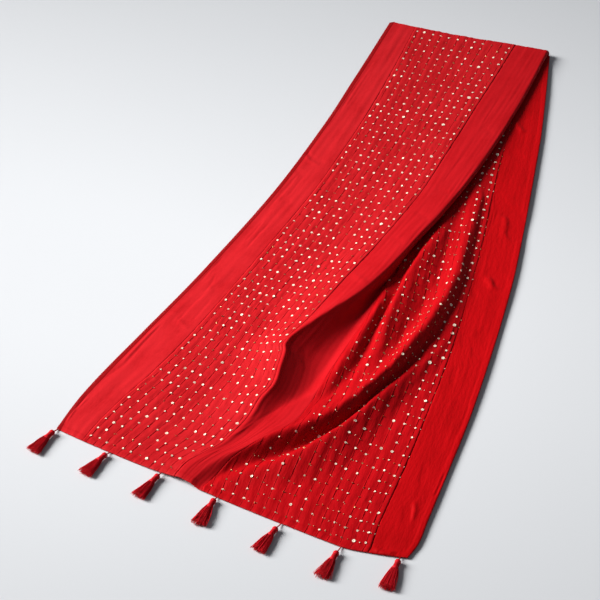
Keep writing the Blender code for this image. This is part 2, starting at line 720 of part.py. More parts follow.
def hem_point(across):
    """The middle of the hem's edge at a place across the stole."""
    cloth = np.linspace(0.0, CLOTH_WIDTH, int(CLOTH_WIDTH) * 2 + 1)
    edge = middle_points(HEM_END, cloth, False)
    return edge[np.argmin(np.abs(edge[:, 0] - across))]


def make_tassel(name, across, heading, cord, length, finish):
    """A turned cord, head and neck, whose lower end is cut into small triangles. Each of them
    is inset and drawn out into one strand, so the strands stand apart and share one root.
    The cord meets the hem at the hem's height and drops or rises to the head's."""
    mesh = bmesh.new()
    rings = [
        [mesh.verts.new(point) for point in ring_points(distance, radius, HEAD_SIDES)]
        for distance, radius in tassel_rings(cord)
    ]
    for first, second in zip(rings, rings[1:]):
        for i in range(HEAD_SIDES):
            following = (i + 1) % HEAD_SIDES
            mesh.faces.new((first[i], first[following], second[following], second[i]))
    mesh.faces.new(rings[0])
    root = tassel_rings(cord)[-1][0]
    below, share = ROOT_RING
    small = [
        mesh.verts.new(point)
        for point in ring_points(root + below, SKIRT_ROOT * share, ROOT_SIDES, ROOT_TURN)
    ]
    centre = mesh.verts.new((0.0, -root - ROOT_CENTRE, 0.0))
    roots = []
    for i in range(ROOT_SIDES):
        following = (i + 1) % ROOT_SIDES
        roots.append(mesh.faces.new((small[i], small[following], centre)))
        outer = rings[-1]
        near, middle, far = 2 * i, 2 * i + 1, (2 * i + 2) % HEAD_SIDES
        roots.append(mesh.faces.new((outer[near], outer[middle], small[i])))
        roots.append(mesh.faces.new((outer[middle], small[following], small[i])))
        roots.append(mesh.faces.new((outer[middle], outer[far], small[following])))
    bmesh.ops.recalc_face_normals(mesh, faces=mesh.faces)
    bmesh.ops.inset_individual(mesh, faces=roots, thickness=STRAND_GAP)
    for number, face in enumerate(roots):
        draw_strand(mesh, face, number, root, length)
    seat = hem_point(across)
    turn = math.radians(heading)
    for vertex in mesh.verts:
        x, y, z = vertex.co
        risen = float(smooth_step(-y / (cord + HEAD_RADIUS)))
        vertex.co = (
            (seat[0] + x * math.cos(turn) - y * math.sin(turn)) * MM,
            (seat[1] - TASSEL_SEAT + x * math.sin(turn) + y * math.cos(turn)) * MM,
            (seat[2] + (AXIS_HEIGHT - seat[2]) * risen + z) * MM,
        )
    bmesh.ops.recalc_face_normals(mesh, faces=mesh.faces)
    return finished(name, mesh, finish)


def draw_strand(mesh, face, number, root, length):
    """Draws one small face out to the skirt's end, fanned sideways and settling downwards."""
    centre = face.calc_center_median()
    spread_x = centre.x / SKIRT_ROOT
    spread_z = centre.z / SKIRT_ROOT
    uneven = math.sin(number * GOLDEN_ANGLE) * STRAND_UNEVEN
    drop = AXIS_HEIGHT - SKIRT_HEIGHT / 2.0 - FLOOR_CLEAR
    made = face
    for share, thickness in STRAND_STEPS:
        reach = root + (length + uneven - root) * share
        wide = SKIRT_ROOT + (SKIRT_WIDTH / 2.0 - SKIRT_ROOT) * share**FAN_POWER
        high = SKIRT_ROOT + (SKIRT_HEIGHT / 2.0 - SKIRT_ROOT) * share
        target = (spread_x * wide, -reach, spread_z * high - drop * share**DROP_POWER)
        old = list(made.verts)
        middle = made.calc_center_median()
        new = [
            mesh.verts.new((
                target[0] + (vertex.co.x - middle.x) * thickness,
                target[1],
                target[2] + (vertex.co.z - middle.z) * thickness,
            ))
            for vertex in old
        ]
        for i in range(len(old)):
            following = (i + 1) % len(old)
            mesh.faces.new((old[i], old[following], new[following], new[i]))
        mesh.faces.remove(made)
        made = mesh.faces.new(new)


def main():
    for leftover in list(bpy.data.objects):
        bpy.data.objects.remove(leftover, do_unlink=True)
    finishes = {
        name: material(name, colour, TASSEL_ROUGHNESS if name == "tassel" else CLOTH_ROUGHNESS)
        for name, colour in COLOURS.items()
    }
    rows = row_list()
    left_border(rows, finishes["border_left"])
    left_panel(rows, finishes["panel_left"])
    centre_band(rows, finishes["band_centre"])
    right_panel(rows, finishes["panel_right"])
    right_border(rows, finishes["border_right"])
    hidden_layers(finishes["under_layers"])
    for number, sizes in enumerate(TASSELS, start=1):
        make_tassel(f"tassel_{number}", *sizes, finishes["tassel"])


main()
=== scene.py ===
"""A sequinned silk dupatta stole, folded once across its length and laid on a pale floor.

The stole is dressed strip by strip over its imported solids: plain borders, pintucked panels
with sequins, a plain centre band, the layers beneath, and a tasselled hem. Lengths in the
tables are millimetres and Blender's own units are metres. "Across" and "along" are places
on the flat cut: across from the left edge, along from the tasselled hem to the fold.
"""

import enum
import logging
import math
from collections.abc import Sequence
from dataclasses import dataclass, field

import bpy
import numpy as np
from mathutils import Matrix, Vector


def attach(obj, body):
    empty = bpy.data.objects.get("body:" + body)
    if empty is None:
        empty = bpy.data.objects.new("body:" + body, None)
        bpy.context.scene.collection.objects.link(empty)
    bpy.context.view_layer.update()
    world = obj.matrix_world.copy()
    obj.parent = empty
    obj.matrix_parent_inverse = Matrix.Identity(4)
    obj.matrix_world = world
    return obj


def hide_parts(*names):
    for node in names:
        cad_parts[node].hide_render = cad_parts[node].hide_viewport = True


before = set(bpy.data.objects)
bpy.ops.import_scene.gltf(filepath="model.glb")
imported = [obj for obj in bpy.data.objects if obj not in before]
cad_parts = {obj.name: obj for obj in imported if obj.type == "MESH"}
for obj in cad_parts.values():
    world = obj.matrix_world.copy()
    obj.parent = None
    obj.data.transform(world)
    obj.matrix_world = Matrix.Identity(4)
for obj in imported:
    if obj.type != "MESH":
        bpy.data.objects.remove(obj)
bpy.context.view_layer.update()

Array = np.ndarray
Rows = tuple[tuple[float, ...], ...]
Creases = tuple[tuple[Rows, float, float], ...]
log = logging.getLogger("stole")

MM = 0.001
ROOT = "root"
CLOTH_MAP = "cloth"
# The middle of the whole piece in the tables' own coordinates. It becomes the origin.
MIDDLE = (2.91, -0.41)
# A place across the cut that no strip reaches, mm.
PAST_CUT = 1e6

# The near hem's own line: across, along.
HEM_LINE: Rows = (
    (-247, -523), (-160, -530), (-79, -533), (5, -539),
    (101, -543), (187, -545), (235, -535), (271, -525),
)

# Each line runs down the stole. Columns: along, across, height and, where it changes, the
# place across the cut, mm.
LINES: dict[str, Rows] = {
    "left_edge": (
        (613, -277, 1.3), (402, -254, 1.3), (260, -240, 1.3), (60, -230, 1.3), (-139, -234, 1.3),
        (-300, -244, 1.3), (-450, -252, 1.3), (-530, -247, 1.3),
    ),
    "left_turn": (
        (613, -268, 3.8), (402, -245, 3.8), (260, -231, 3.8), (60, -221, 3.8), (-139, -225, 3.8),
        (-300, -235, 3.8), (-500, -243, 3.6), (-530, -238, 1.3),
    ),
    "left_seam": (
        (613, -232, 4.1), (385, -199, 4.2), (229, -183, 4.2), (71, -175, 4.1), (-66, -176, 4),
        (-242, -179, 4), (-368, -188, 3.9), (-434, -198, 3.8), (-500, -204, 3.7),
        (-530, -205, 1.4),
    ),
    "panel_middle": (
        (613, -146, 6), (300, -112, 6), (0, -102, 5.4), (-190, -108, 5.2), (-300, -105, 4.8),
        (-430, -112, 4.2), (-500, -125, 3.8), (-530, -132, 1.4),
    ),
    "band_seam": (
        (613, -56, 11), (468, -45, 11), (373, -39, 11), (259, -31, 12), (143, -24, 14),
        (0, -28, 17), (-93, -34, 20), (-190, -38, 24), (-248, -43.2, 28), (-258, -43.2, 28),
        (-270, -37.4, 27.4), (-297, -30, 26), (-338, -21, 23), (-366, -24, 21), (-399, -22, 18),
        (-428, -25, 16), (-458, -31, 14), (-481, -42, 13), (-512, -57, 10), (-530, -60, 6),
    ),
    "crest": (
        (613, -3, 13, 270), (439, 16, 14, 276), (319, 24, 15.5, 278), (215, 27, 17.5, 276),
        (112, 24, 20.5, 269), (51, 19, 22.5, 266), (-24, 14, 25, 260), (-110, 1, 28, 252),
        (-167, -17, 30, 238), (-226, -34.5, 31, 224), (-248, -39.5, 30.5, 220.5),
        (-258, -39.5, 30, 219.5), (-270, -33.5, 29.4, 219.5), (-297, -26, 28, 219.5),
        (-338, -17, 25, 220), (-366, -20, 22.5, 220), (-399, -18, 19.2, 220), (-428, -21, 17, 220),
        (-458, -28, 15, 220), (-481, -39.5, 14, 220), (-512, -54.5, 11.5, 220),
        (-530, -57.5, 7.5, 220),
    ),
    "nose": (
        (613, 0, 10, 275), (439, 19, 11, 281), (319, 27, 12, 283), (215, 30, 14, 281),
        (112, 27, 16.5, 274), (51, 22, 18.5, 271), (-24, 17, 21, 265), (-110, 4.5, 24, 257),
        (-167, -13, 26, 243), (-226, -30.5, 27, 229), (-248, -35.7, 26.5, 225.5),
        (-258, -35.8, 26, 224.5), (-270, -29.7, 25.4, 224.7), (-297, -22, 24, 225),
        (-338, -13, 21.5, 226), (-366, -15, 20, 227), (-399, -12, 17.5, 228),
        (-428, -15, 15.8, 228), (-458, -24, 14.6, 227), (-481, -36.5, 14.2, 227),
        (-512, -51, 11.8, 227), (-530, -54, 8.2, 227),
    ),
    "foot": (
        (613, -4, 8, 289.5), (439, 14, 8, 289.5), (319, 21, 8, 289.5), (215, 24, 8, 289.5),
        (112, 22, 8, 289.5), (51, 18, 8, 289.5), (-24, 15, 6.8, 289.5), (-60, 14, 4.6, 289.5),
        (-110, 14, 4.2, 281), (-167, 14, 4.2, 279), (-226, 16.5, 4.4, 281), (-258, 17.5, 4.6, 280),
        (-297, 17, 5.6, 271), (-322, 15, 8, 264), (-345, 8.5, 11, 253), (-366, 2, 13, 244),
        (-399, -2, 15.5, 240), (-428, -8, 15, 237), (-458, -19, 14.4, 234), (-481, -33, 14.2, 234),
        (-512, -47, 11.7, 234), (-530, -50, 8.3, 234),
    ),
    "tuck": (
        (613, -140, 3.8), (409, -60, 3.8), (200, -30, 3.8), (0, 0, 3.8), (-60, 14, 4.2),
        (-530, 14, 4.2),
    ),
    "ridge_first": (
        (200, -15, 3.8, 310), (0, 4, 3.9, 297), (-30, 11, 4.1, 296), (-60, 21.5, 9, 296),
        (-86, 30, 15, 296), (-145, 36, 18.5, 296), (-195, 40, 19.5, 296), (-235, 42, 19.5, 296),
        (-263, 42.5, 19, 296), (-300, 43.5, 18.5, 296),
    ),
    "valley_first": (
        (200, 10, 3.8, 344), (130, 20, 3.9, 331), (100, 22.5, 4, 325), (40, 24.5, 4.1, 316),
        (-24, 30, 5.5, 311), (-60, 37.5, 8, 311), (-120, 44.5, 9, 311), (-156, 48.5, 9, 311),
        (-199, 55.5, 9.5, 311), (-243, 59.5, 11, 311), (-270, 59.5, 13, 309),
        (-300, 56, 15.5, 308),
    ),
    "ridge_narrow": (
        (200, 23, 3.9, 373), (160, 29, 4.8, 356), (130, 33, 7, 345), (100, 36, 10.5, 337),
        (70, 37.5, 13.5, 332), (39, 38.5, 16, 329), (-24, 41, 18, 327), (-77, 47.5, 18.5, 327),
        (-117, 53.5, 18.5, 327), (-152, 60, 18, 327), (-184, 67, 17, 327), (-231, 73, 16.5, 327),
        (-263, 73, 17, 324), (-300, 67, 18.5, 320),
    ),
    "valley_second": (
        (200, 33, 4.6, 425), (130, 46, 6.5, 388), (100, 52, 7.5, 376), (70, 59, 7.5, 367),
        (39, 67, 7.5, 360), (-24, 79, 7.5, 353), (-77, 84, 7.5, 351), (-117, 86, 7.5, 350),
        (-152, 87, 8.5, 350), (-184, 88, 11, 348), (-231, 88, 16.5, 346), (-263, 86, 20, 341),
        (-300, 77, 22, 332),
    ),
    "ridge_wide": (
        (613, -100, 3.8, 474), (409, -34, 3.8, 474), (300, 8, 3.8, 474), (240, 36, 4.2, 472),
        (210, 50, 6.5, 470), (186, 59, 8.5, 466), (148, 68, 10.5, 458), (105, 79, 12, 449),
        (65, 88, 14, 440), (-4, 104, 17, 422), (-50, 109, 19.5, 411), (-113, 112, 22.5, 401),
        (-178, 109.5, 24.5, 391), (-211, 108.5, 25.5, 384), (-245, 103.5, 26, 375),
        (-280, 96, 26.5, 361), (-312, 87, 26.5, 345), (-344, 75, 26, 327), (-369, 63, 25.5, 312),
        (-391, 49, 25, 301), (-410, 34, 24, 295), (-432, 18, 22, 290), (-458, 1, 18, 283),
        (-481, -16, 14.5, 273), (-512, -32, 10, 262), (-530, -37, 7.2, 262),
    ),
    "trough": (
        (613, -90, 3.8, 487), (409, -20, 3.8, 487), (300, 17, 3.8, 487), (240, 45, 4.1, 485),
        (186, 67, 4.6, 485), (105, 90, 4.8, 477), (65, 100, 4.8, 472), (-4, 117.5, 5, 462),
        (-50, 126, 5.2, 456), (-113, 130.5, 5.6, 452), (-178, 124.5, 6.5, 441),
        (-211, 120.5, 7.5, 432), (-245, 114.5, 8, 424), (-280, 107, 7.5, 410),
        (-312, 101, 6.5, 395), (-344, 93, 5.6, 379), (-369, 83, 5, 366), (-391, 71.5, 5, 354),
        (-412, 59, 5, 344), (-432, 45, 5, 334), (-458, 25, 5.2, 320), (-481, 6, 4.8, 306),
        (-512, -12, 3.4, 291), (-530, -21, 1.8, 285),
    ),
    "ridge_sharp": (
        (613, -80, 3.8, 500), (409, -8, 3.8, 500), (300, 25, 3.8, 500), (240, 52, 4.1, 500),
        (186, 71, 4.4, 503), (105, 94.5, 4.6, 503), (-4, 123, 4.9, 496), (-50, 133, 5.5, 494),
        (-113, 143, 6.6, 497), (-148, 144.5, 7.6, 499), (-178, 140, 9.5, 494),
        (-211, 132, 12, 483), (-242, 125, 14.5, 470), (-273, 118, 17, 457), (-307, 110, 18.5, 445),
        (-338, 104, 19, 434), (-366, 95.5, 19, 421), (-388, 88, 18.5, 410), (-412, 78, 17, 396),
        (-432, 68, 15, 384), (-453, 55, 12.5, 371), (-479, 32, 9, 344), (-507, 6, 5, 313),
        (-530, -7, 2.4, 302),
    ),
    "ridge_foot": (
        (613, -70, 3.8, 515), (409, 5, 3.8, 515), (300, 34, 3.8, 515), (240, 58.5, 3.9, 515),
        (186, 75.2, 4, 518), (105, 98.3, 4.1, 517), (-4, 126.3, 4.1, 513), (-50, 137.3, 4.2, 513),
        (-113, 151, 4.5, 517), (-148, 156, 4.5, 518), (-197, 157, 4.5, 516), (-242, 154, 4.4, 508),
        (-285, 150, 4.3, 498), (-330, 147, 4.2, 488), (-372, 146, 4.1, 478), (-412, 139, 4, 462),
        (-445, 121, 4, 438), (-478, 90, 4, 402), (-507, 50, 3.5, 356), (-530, 15, 1.5, 325),
    ),
    "right_seam": (
        (613, -60, 3.8), (510, -22, 3.9), (409, 19, 4), (293, 48, 4), (184, 78, 4),
        (104, 101, 4.1), (-15, 131, 4.2), (-123, 156, 4.3), (-231, 176, 4.3), (-311, 189, 4.2),
        (-404, 203, 4.1), (-500, 216, 3.9), (-530, 222, 1.6),
    ),
    "right_edge": (
        (613, 0, 4.3), (510, 36, 4.5), (384, 78, 4.4), (263, 114, 4.6), (148, 147, 4.4),
        (38, 177, 4.4), (-68, 201, 3.6), (-171, 222, 4.2), (-269, 240, 3.6), (-365, 254, 3.4),
        (-456, 267, 3.5), (-500, 273, 3.2), (-530, 270, 2.6),
    ),
}
# Where the others lie on the cut all the way down, mm across.
LINE_CLOTH = {
    "left_edge": 0, "left_turn": 9, "left_seam": 55, "panel_middle": 135, "band_seam": 215,
    "tuck": 290, "right_seam": 530, "right_edge": 590,
}
# Folds that start or end inside the cloth: outside their rows they fade into an even run
# between the foot of the crest and the wide ridge, at this share of the way.
PASSING = {"ridge_first": 0.2, "valley_first": 0.4, "ridge_narrow": 0.6, "valley_second": 0.8}
# Where the flat stretch between the last fold and the right seam is held to the hem's line.
FLAT_SHARES = (0.42, 0.83)
UPPER_LINES = ("left_edge", "left_turn", "left_seam", "panel_middle", "band_seam", "crest", "nose")
LOWER_LINES = ("ridge_wide", "trough", "ridge_sharp", "ridge_foot", "right_seam", "right_edge")

# The layers hidden beneath. Columns: along, left side, right side, pleat's inner fold, pleat's
# outer end, height of the pleat's stack.
HIDDEN_SECTIONS = (
    (575, -254, -10, -108, -22, 8.2),
    (540, -252, 14, -106, -10, 8.2),
    (450, -244, 46, -104, 1, 8.2),
    (350, -235, 79, -102, 9, 8.2),
    (250, -225, 107, -100, 13, 8.4),
    (150, -217, 134, -98, 13, 8.6),
    (60, -214, 153, -98, 9, 8.6),
    (-20, -214, 172, -98, 4, 7.6),
    (-60, -214, 181, -98, -2, 5),
    (-110, -215, 192, -98, -12, 3),
    (-200, -222, 209, -98, -30, 3),
    (-300, -229, 226, -98, -30, 3),
    (-400, -235, 240, -98, -30, 3),
    (-498, -236, 253, -98, -30, 3),
)


# ---------------------------------------------------------------------------------------
# Small tools: curves, noise and meshes


def smooth_step(value: Array | float) -> Array:
    """A share from 0 to 1, held there and eased."""
    held = np.clip(value, 0.0, 1.0)
    return held * held * (3.0 - 2.0 * held)


def unit(vectors: Array) -> Array:
    """The vectors of an array's last axis, at length 1."""
    return vectors / np.maximum(np.linalg.norm(vectors, axis=-1, keepdims=True), 1e-9)


class Curve:
    """A curve through values that never swings past them: a monotone cubic."""

    def __init__(self, knots: Array, values: Array) -> None:
        """Works out the slopes.

        Args:
            knots: Rising places.
            values: One row of values for each place.
        """
        self.knots = np.asarray(knots, float)
        self.values = np.asarray(values, float).reshape(len(self.knots), -1)
        self.steps = np.diff(self.knots)
        slopes = np.diff(self.values, axis=0) / self.steps[:, None]
        before, after = slopes[:-1], slopes[1:]
        near = (2.0 * self.steps[1:] + self.steps[:-1])[:, None]
        far = (self.steps[1:] + 2.0 * self.steps[:-1])[:, None]
        rising = before * after > 0.0
        safe_before, safe_after = np.where(rising, before, 1.0), np.where(rising, after, 1.0)
        inner = (near + far) / (near / safe_before + far / safe_after)
        inner = np.where(rising, inner, 0.0)
        self.tangents = np.concatenate([slopes[:1], inner, slopes[-1:]])

    def at(self, wanted: Array | float) -> Array:
        """Reads the curve.

        Args:
            wanted: Places, which are held inside the knots.

        Returns:
            One row of values for each place.
        """
        held = np.clip(np.atleast_1d(wanted), self.knots[0], self.knots[-1])
        cell = np.clip(np.searchsorted(self.knots, held) - 1, 0, len(self.steps) - 1)
        step = self.steps[cell][:, None]
        share = (held - self.knots[cell])[:, None] / step
        keep = 1.0 - share
        return (
            self.values[cell] * (1.0 + 2.0 * share) * keep**2
            + step * self.tangents[cell] * share * keep**2
            + self.values[cell + 1] * (3.0 - 2.0 * share) * share**2
            - step * self.tangents[cell + 1] * keep * share**2
        )


# How many waves soft noise sums, and their pace against the size asked for, from and to.
NOISE_WAVES, NOISE_PACES = 12, (0.55, 1.45)


def soft_noise(across: Array, along: Array, size: tuple[float, float], seed: int) -> Array:
    """Smooth unevenness over the cloth, as a sum of waves at odd angles.

    Args:
        across: Places across the cut, mm.
        along: Places along the cut, mm.
        size: Typical size of a bump across and along, mm.
        seed: Which noise.

    Returns:
        Values of about -1 to 1, in the shape of the places.
    """
    draw = np.random.default_rng(seed)
    total = np.zeros(np.broadcast(across, along).shape)
    for _ in range(NOISE_WAVES):
        angle = draw.uniform(0.0, 2.0 * math.pi)
        pace = draw.uniform(*NOISE_PACES)
        phase = draw.uniform(0.0, 2.0 * math.pi)
        turn_across = math.cos(angle) * pace * math.pi / size[0]
        turn_along = math.sin(angle) * pace * math.pi / size[1]
        total += np.sin(across * turn_across + along * turn_along + phase)
    return total / math.sqrt(NOISE_WAVES)


@dataclass(frozen=True)
class Patch:
    """Points and faces of one stretch of mesh, ready to be joined with others.

    Attributes:
        points: N x 3 points, mm, in the tables' coordinates.
        faces: Faces as tuples of point numbers.
        cloth: N x 2 places on the cut, mm.
        tone: N values from 0 to 1 that a finish may read.
    """

    points: Array
    faces: list[tuple[int, ...]]
    cloth: Array
    tone: Array


def joined(name: str, patches: Sequence[Patch], smooth: bool = True) -> bpy.types.Object:
    """Makes one object from patches.

    Args:
        name: The piece's name.
        patches: What it is made of.
        smooth: Whether it is shaded smooth.

    Returns:
        The object, with its place on the cut as a UV map and its tone as an attribute.
    """
    faces: list[tuple[int, ...]] = []
    start = 0
    for patch in patches:
        faces += [tuple(corner + start for corner in face) for face in patch.faces]
        start += len(patch.points)
    points = np.concatenate([patch.points for patch in patches])
    cloth = np.concatenate([patch.cloth for patch in patches])
    tone = np.concatenate([patch.tone for patch in patches])
    centred = (points - np.array([*MIDDLE, 0.0])) * MM
    mesh = bpy.data.meshes.new(name)
    mesh.from_pydata(centred.tolist(), [], faces)
    mesh.update()
    corners = np.empty(len(mesh.loops), np.int32)
    mesh.loops.foreach_get("vertex_index", corners)
    layer = mesh.uv_layers.new(name=CLOTH_MAP)
    layer.data.foreach_set("uv", (cloth[corners] * MM).astype(np.float32).ravel())
    shade = mesh.attributes.new("tone", "FLOAT", "POINT")
    shade.data.foreach_set("value", tone.astype(np.float32))
    if smooth:
        mesh.shade_smooth()
    made = bpy.data.objects.new(name, mesh)
    bpy.context.scene.collection.objects.link(made)
    return made


def stacked(rings: int, sides: int) -> list[tuple[int, ...]]:
    """Faces of a stack of rings of points, closed at both ends.

    Args:
        rings: How many rings.
        sides: Points in each.

    Returns:
        The quads between the rings, then the first end and the last.
    """
    number = np.arange(rings * sides).reshape(rings, sides)
    beside = np.roll(number, -1, axis=1)
    quads = np.stack([number[:-1], beside[:-1], beside[1:], number[1:]], axis=-1)
    ends = [number[0, ::-1].tolist(), number[-1].tolist()]
    return [tuple(face) for face in [*quads.reshape(-1, 4).tolist(), *ends]]


def tube(
    path: Array, radii: Array, sides: int, cloth: tuple[float, float], tone: float
) -> Patch:
    """A thread or cord along a path, closed at both ends.

    Args:
        path: N x 3 points, mm.
        radii: N radii, mm.
        sides: Sides of the section.
        cloth: Place on the cut, mm.
        tone: The finish's tone.

    Returns:
        The patch.
    """
    ahead = unit(np.gradient(path, axis=0))
    helper = np.where(np.abs(ahead[:, 2:3]) > 0.9, [[1.0, 0.0, 0.0]], [[0.0, 0.0, 1.0]])
    side = unit(np.cross(ahead, helper))
    top = np.cross(side, ahead)
    angles = 2.0 * math.pi * np.arange(sides) / sides
    ring = (
        side[:, None] * np.cos(angles)[None, :, None]
        + top[:, None] * np.sin(angles)[None, :, None]
    )
    points = (path[:, None] + ring * radii[:, None, None]).reshape(-1, 3)
    places = np.broadcast_to(np.asarray(cloth, float), (len(points), 2))
    return Patch(points, stacked(len(path), sides), places, np.full(len(points), tone))


# ---------------------------------------------------------------------------------------
# The lie of the cloth


class Strip(enum.Enum):
    """The five strips, with where each starts and ends across the cut."""

    BORDER_LEFT = (0.0, 55.0)
    PANEL_LEFT = (55.0, 215.0)
    BAND_CENTRE = (215.0, 290.0)
    PANEL_RIGHT = (290.0, 530.0)
    BORDER_RIGHT = (530.0, 590.0)

    @property
    def start(self) -> float:
        """Where the strip starts across the cut, mm."""
        return self.value[0]

    @property
    def end(self) -> float:
        """Where the strip ends across the cut, mm."""
        return self.value[1]

    @property
    def under_pleat(self) -> bool:
        """Whether the strip lies under the crest while the pleat is closed."""
        return self.start >= Strip.PANEL_RIGHT.start


# How many half widths a crease reaches, and how steeply and from what share its ends fade in.
CREASE_REACH, CREASE_FADE, CREASE_END = 3.0, 4.0, 0.06


@dataclass(frozen=True)
class Crease:
    """One soft trough or ridge in the cloth.

    Attributes:
        path: Places on the cut that it runs through: across, along.
        width: Half its width, mm.
        height: Its height in the middle, less than 0 for a trough, mm.
    """

    path: Rows
    width: float
    height: float

    def press(self, across: Array, along: Array) -> Array:
        """How far the crease moves each place out of the cloth, mm."""
        knots = np.array(self.path, float)
        reach = CREASE_REACH * self.width
        low, high = knots.min(axis=0) - reach, knots.max(axis=0) + reach
        moved = np.zeros(across.shape)
        near = (across > low[0]) & (across < high[0]) & (along > low[1]) & (along < high[1])
        if not near.any():
            return moved
        place = np.stack([across[near], along[near]], axis=1)
        lengths = np.linalg.norm(np.diff(knots, axis=0), axis=1)
        starts = np.concatenate([[0.0], np.cumsum(lengths)])
        best = np.full(len(place), PAST_CUT)
        share = np.zeros(len(place))
        for i, length in enumerate(lengths):
            step = (knots[i + 1] - knots[i]) / length
            gone = np.clip((place - knots[i]) @ step, 0.0, length)
            away = np.linalg.norm(place - knots[i] - gone[:, None] * step, axis=1)
            closer = away < best
            best = np.where(closer, away, best)
            share = np.where(closer, (starts[i] + gone) / starts[-1], share)
        ends = smooth_step(np.minimum(share, 1.0 - share) * CREASE_FADE + CREASE_END)
        moved[near] = self.height * np.exp(-((best / self.width) ** 2)) * ends
        return moved


# Rows bow, so where a line crosses one is found in a few rounds.
CROSSING_ROUNDS = 3


@dataclass
class ClothForm:
    """The shape that the cloth lies in, worked out from the lines that run down it.

    Attributes:
        fold_end: Where the cross fold starts along the cut, mm.
        hem_end: The tasselled hem, mm.
        fold_tilt: How much rows tilt at the fold.
        tilt_power: How soon that tilt fades towards the hem.
        bow_starts: Where rows start to bow like the hem, mm.
        pleat_opens: The row down to which the pleat is closed, mm.
        lowest_middle: Height of the lowest cloth's middle, mm.
        tuck_starts: How far from the pleat's opening the lower sheet starts to reach in, mm.
        tuck_ramp: How long it takes to reach in fully, mm.
        tuck_depth: How far it reaches in under the foot, mm.
        tuck_clear: How far it stays clear of the foot at the opening, mm.
        narrowest: The narrowest strip that still shows, mm.
        passing_fade: How soon a fold that ends inside the cloth fades out, mm.
        turn_angles: Steps of the cross fold's turned end, in degrees from its top.
        known: Sections that are already worked out, by row and sheet.
    """

    fold_end: float = 598.0
    hem_end: float = -530.0
    fold_tilt: float = 0.088
    tilt_power: float = 1.3
    bow_starts: float = -250.0
    pleat_opens: float = -60.0
    lowest_middle: float = 1.3
    tuck_starts: float = 35.0
    tuck_ramp: float = 30.0
    tuck_depth: float = 6.2
    tuck_clear: float = 1.7
    narrowest: float = 7.0
    passing_fade: float = 40.0
    turn_angles: tuple[float, ...] = (18.0, 36.0, 54.0, 72.0, 90.0, 107.0, 125.0, 142.0, 150.0)
    known: dict[tuple[float, bool], Curve] = field(default_factory=dict)

    def __post_init__(self) -> None:
        """Prepares one curve for each line."""
        hem = np.array(HEM_LINE, float)
        self.hem = Curve(hem[:, 0], hem[:, 1])
        self.lines = {}
        self.spans = {}
        for name, rows in LINES.items():
            if name in LINE_CLOTH:
                rows = [(*row, LINE_CLOTH[name]) for row in rows]
            table = np.array(rows, float)[::-1]
            self.lines[name] = Curve(table[:, 0], table[:, 1:])
            self.spans[name] = (table[0, 0], table[-1, 0])

    def tilt_at(self, row: float) -> float:
        """How much a row tilts, as rise per mm across."""
        share = max((row - self.hem_end) / (self.fold_end - self.hem_end), 0.0)
        return self.fold_tilt * share**self.tilt_power

    def row_along(self, across: float, row: float) -> float:
        """Where a row lies along the stole at a place across it, mm."""
        bow = float(self.hem.at(across)[0, 0]) - self.hem_end
        share = (self.bow_starts - row) / (self.bow_starts - self.hem_end)
        return row + self.tilt_at(row) * across + bow * float(smooth_step(share))

    def line_point(self, name: str, row: float) -> Array:
        """Where a line crosses a row: across, along, height and cloth, mm."""
        line = self.lines[name]
        across = line.at(row)[0, 0]
        for _ in range(CROSSING_ROUNDS):
            along = self.row_along(across, row)
            across = line.at(along)[0, 0]
        read = line.at(row)[0]
        return np.array([across, along, read[1], read[2]])

    def passing_point(self, name: str, row: float, left: Array, right: Array) -> Array:
        """A fold that starts or ends inside the cloth, faded out past its ends.

        Args:
            name: The fold's line.
            row: The row, mm along.
            left: The point on its left that it fades towards.
            right: The point on its right that it fades towards.

        Returns:
            Across, along, height and cloth, mm.
        """
        low, high = self.spans[name]
        outside = max(row - high, low - row, 0.0)
        between = left + (right - left) * PASSING[name]
        if outside >= self.passing_fade:
            return between
        shown = 1.0 - float(smooth_step(outside / self.passing_fade))
        return between + (self.line_point(name, row) - between) * shown

    def section(self, row: float, lower: bool) -> Curve:
        """The curve that one row of cloth follows, from left to right.

        Args:
            row: The row, mm along.
            lower: Whether it is the sheet under the crest, where the pleat is closed.

        Returns:
            A curve over the places across the cut.
        """
        key = (round(row, 4), lower)
        if key in self.known:
            return self.known[key]
        closed = row >= self.pleat_opens
        start = self.line_point("tuck" if closed and lower else "foot", row)
        ridge = self.line_point("ridge_wide", row)
        points = [start] + [self.passing_point(name, row, start, ridge) for name in PASSING]
        folds = [self.line_point(name, row) for name in LOWER_LINES]
        flats = []
        for share in FLAT_SHARES:
            point = folds[-3] + (folds[-2] - folds[-3]) * share
            point[1] = self.row_along(point[0], row)
            flats.append(point)
        points += folds[:-2] + flats + folds[-2:]
        if not (closed and lower):
            upper = [self.line_point(name, row) for name in UPPER_LINES]
            points = upper + ([start] if closed else points)
        knots = np.array(points)
        self.known[key] = Curve(knots[:, 3], knots[:, :3])
        return self.known[key]

    def tuck_edge(self, row: float) -> float:
        """How far across the cut the lower sheet comes out of the pleat, mm."""
        start = Strip.PANEL_RIGHT.start
        if row < self.pleat_opens:
            return start
        foot = self.line_point("foot", row)
        eased = float(smooth_step((row - self.pleat_opens - self.tuck_starts) / self.tuck_ramp))
        inside = self.tuck_depth * eased - self.tuck_clear
        cloth = np.arange(start, Strip.BORDER_RIGHT.end, 0.5)
        across = self.section(row, True).at(cloth)[:, 0]
        edge = float(cloth[np.argmax(across >= foot[0] - inside)])
        return edge if edge < Strip.BORDER_RIGHT.end - self.narrowest else PAST_CUT


# Cloth that lies this many times narrower than its cut is gathered.
GATHERED = 1.35


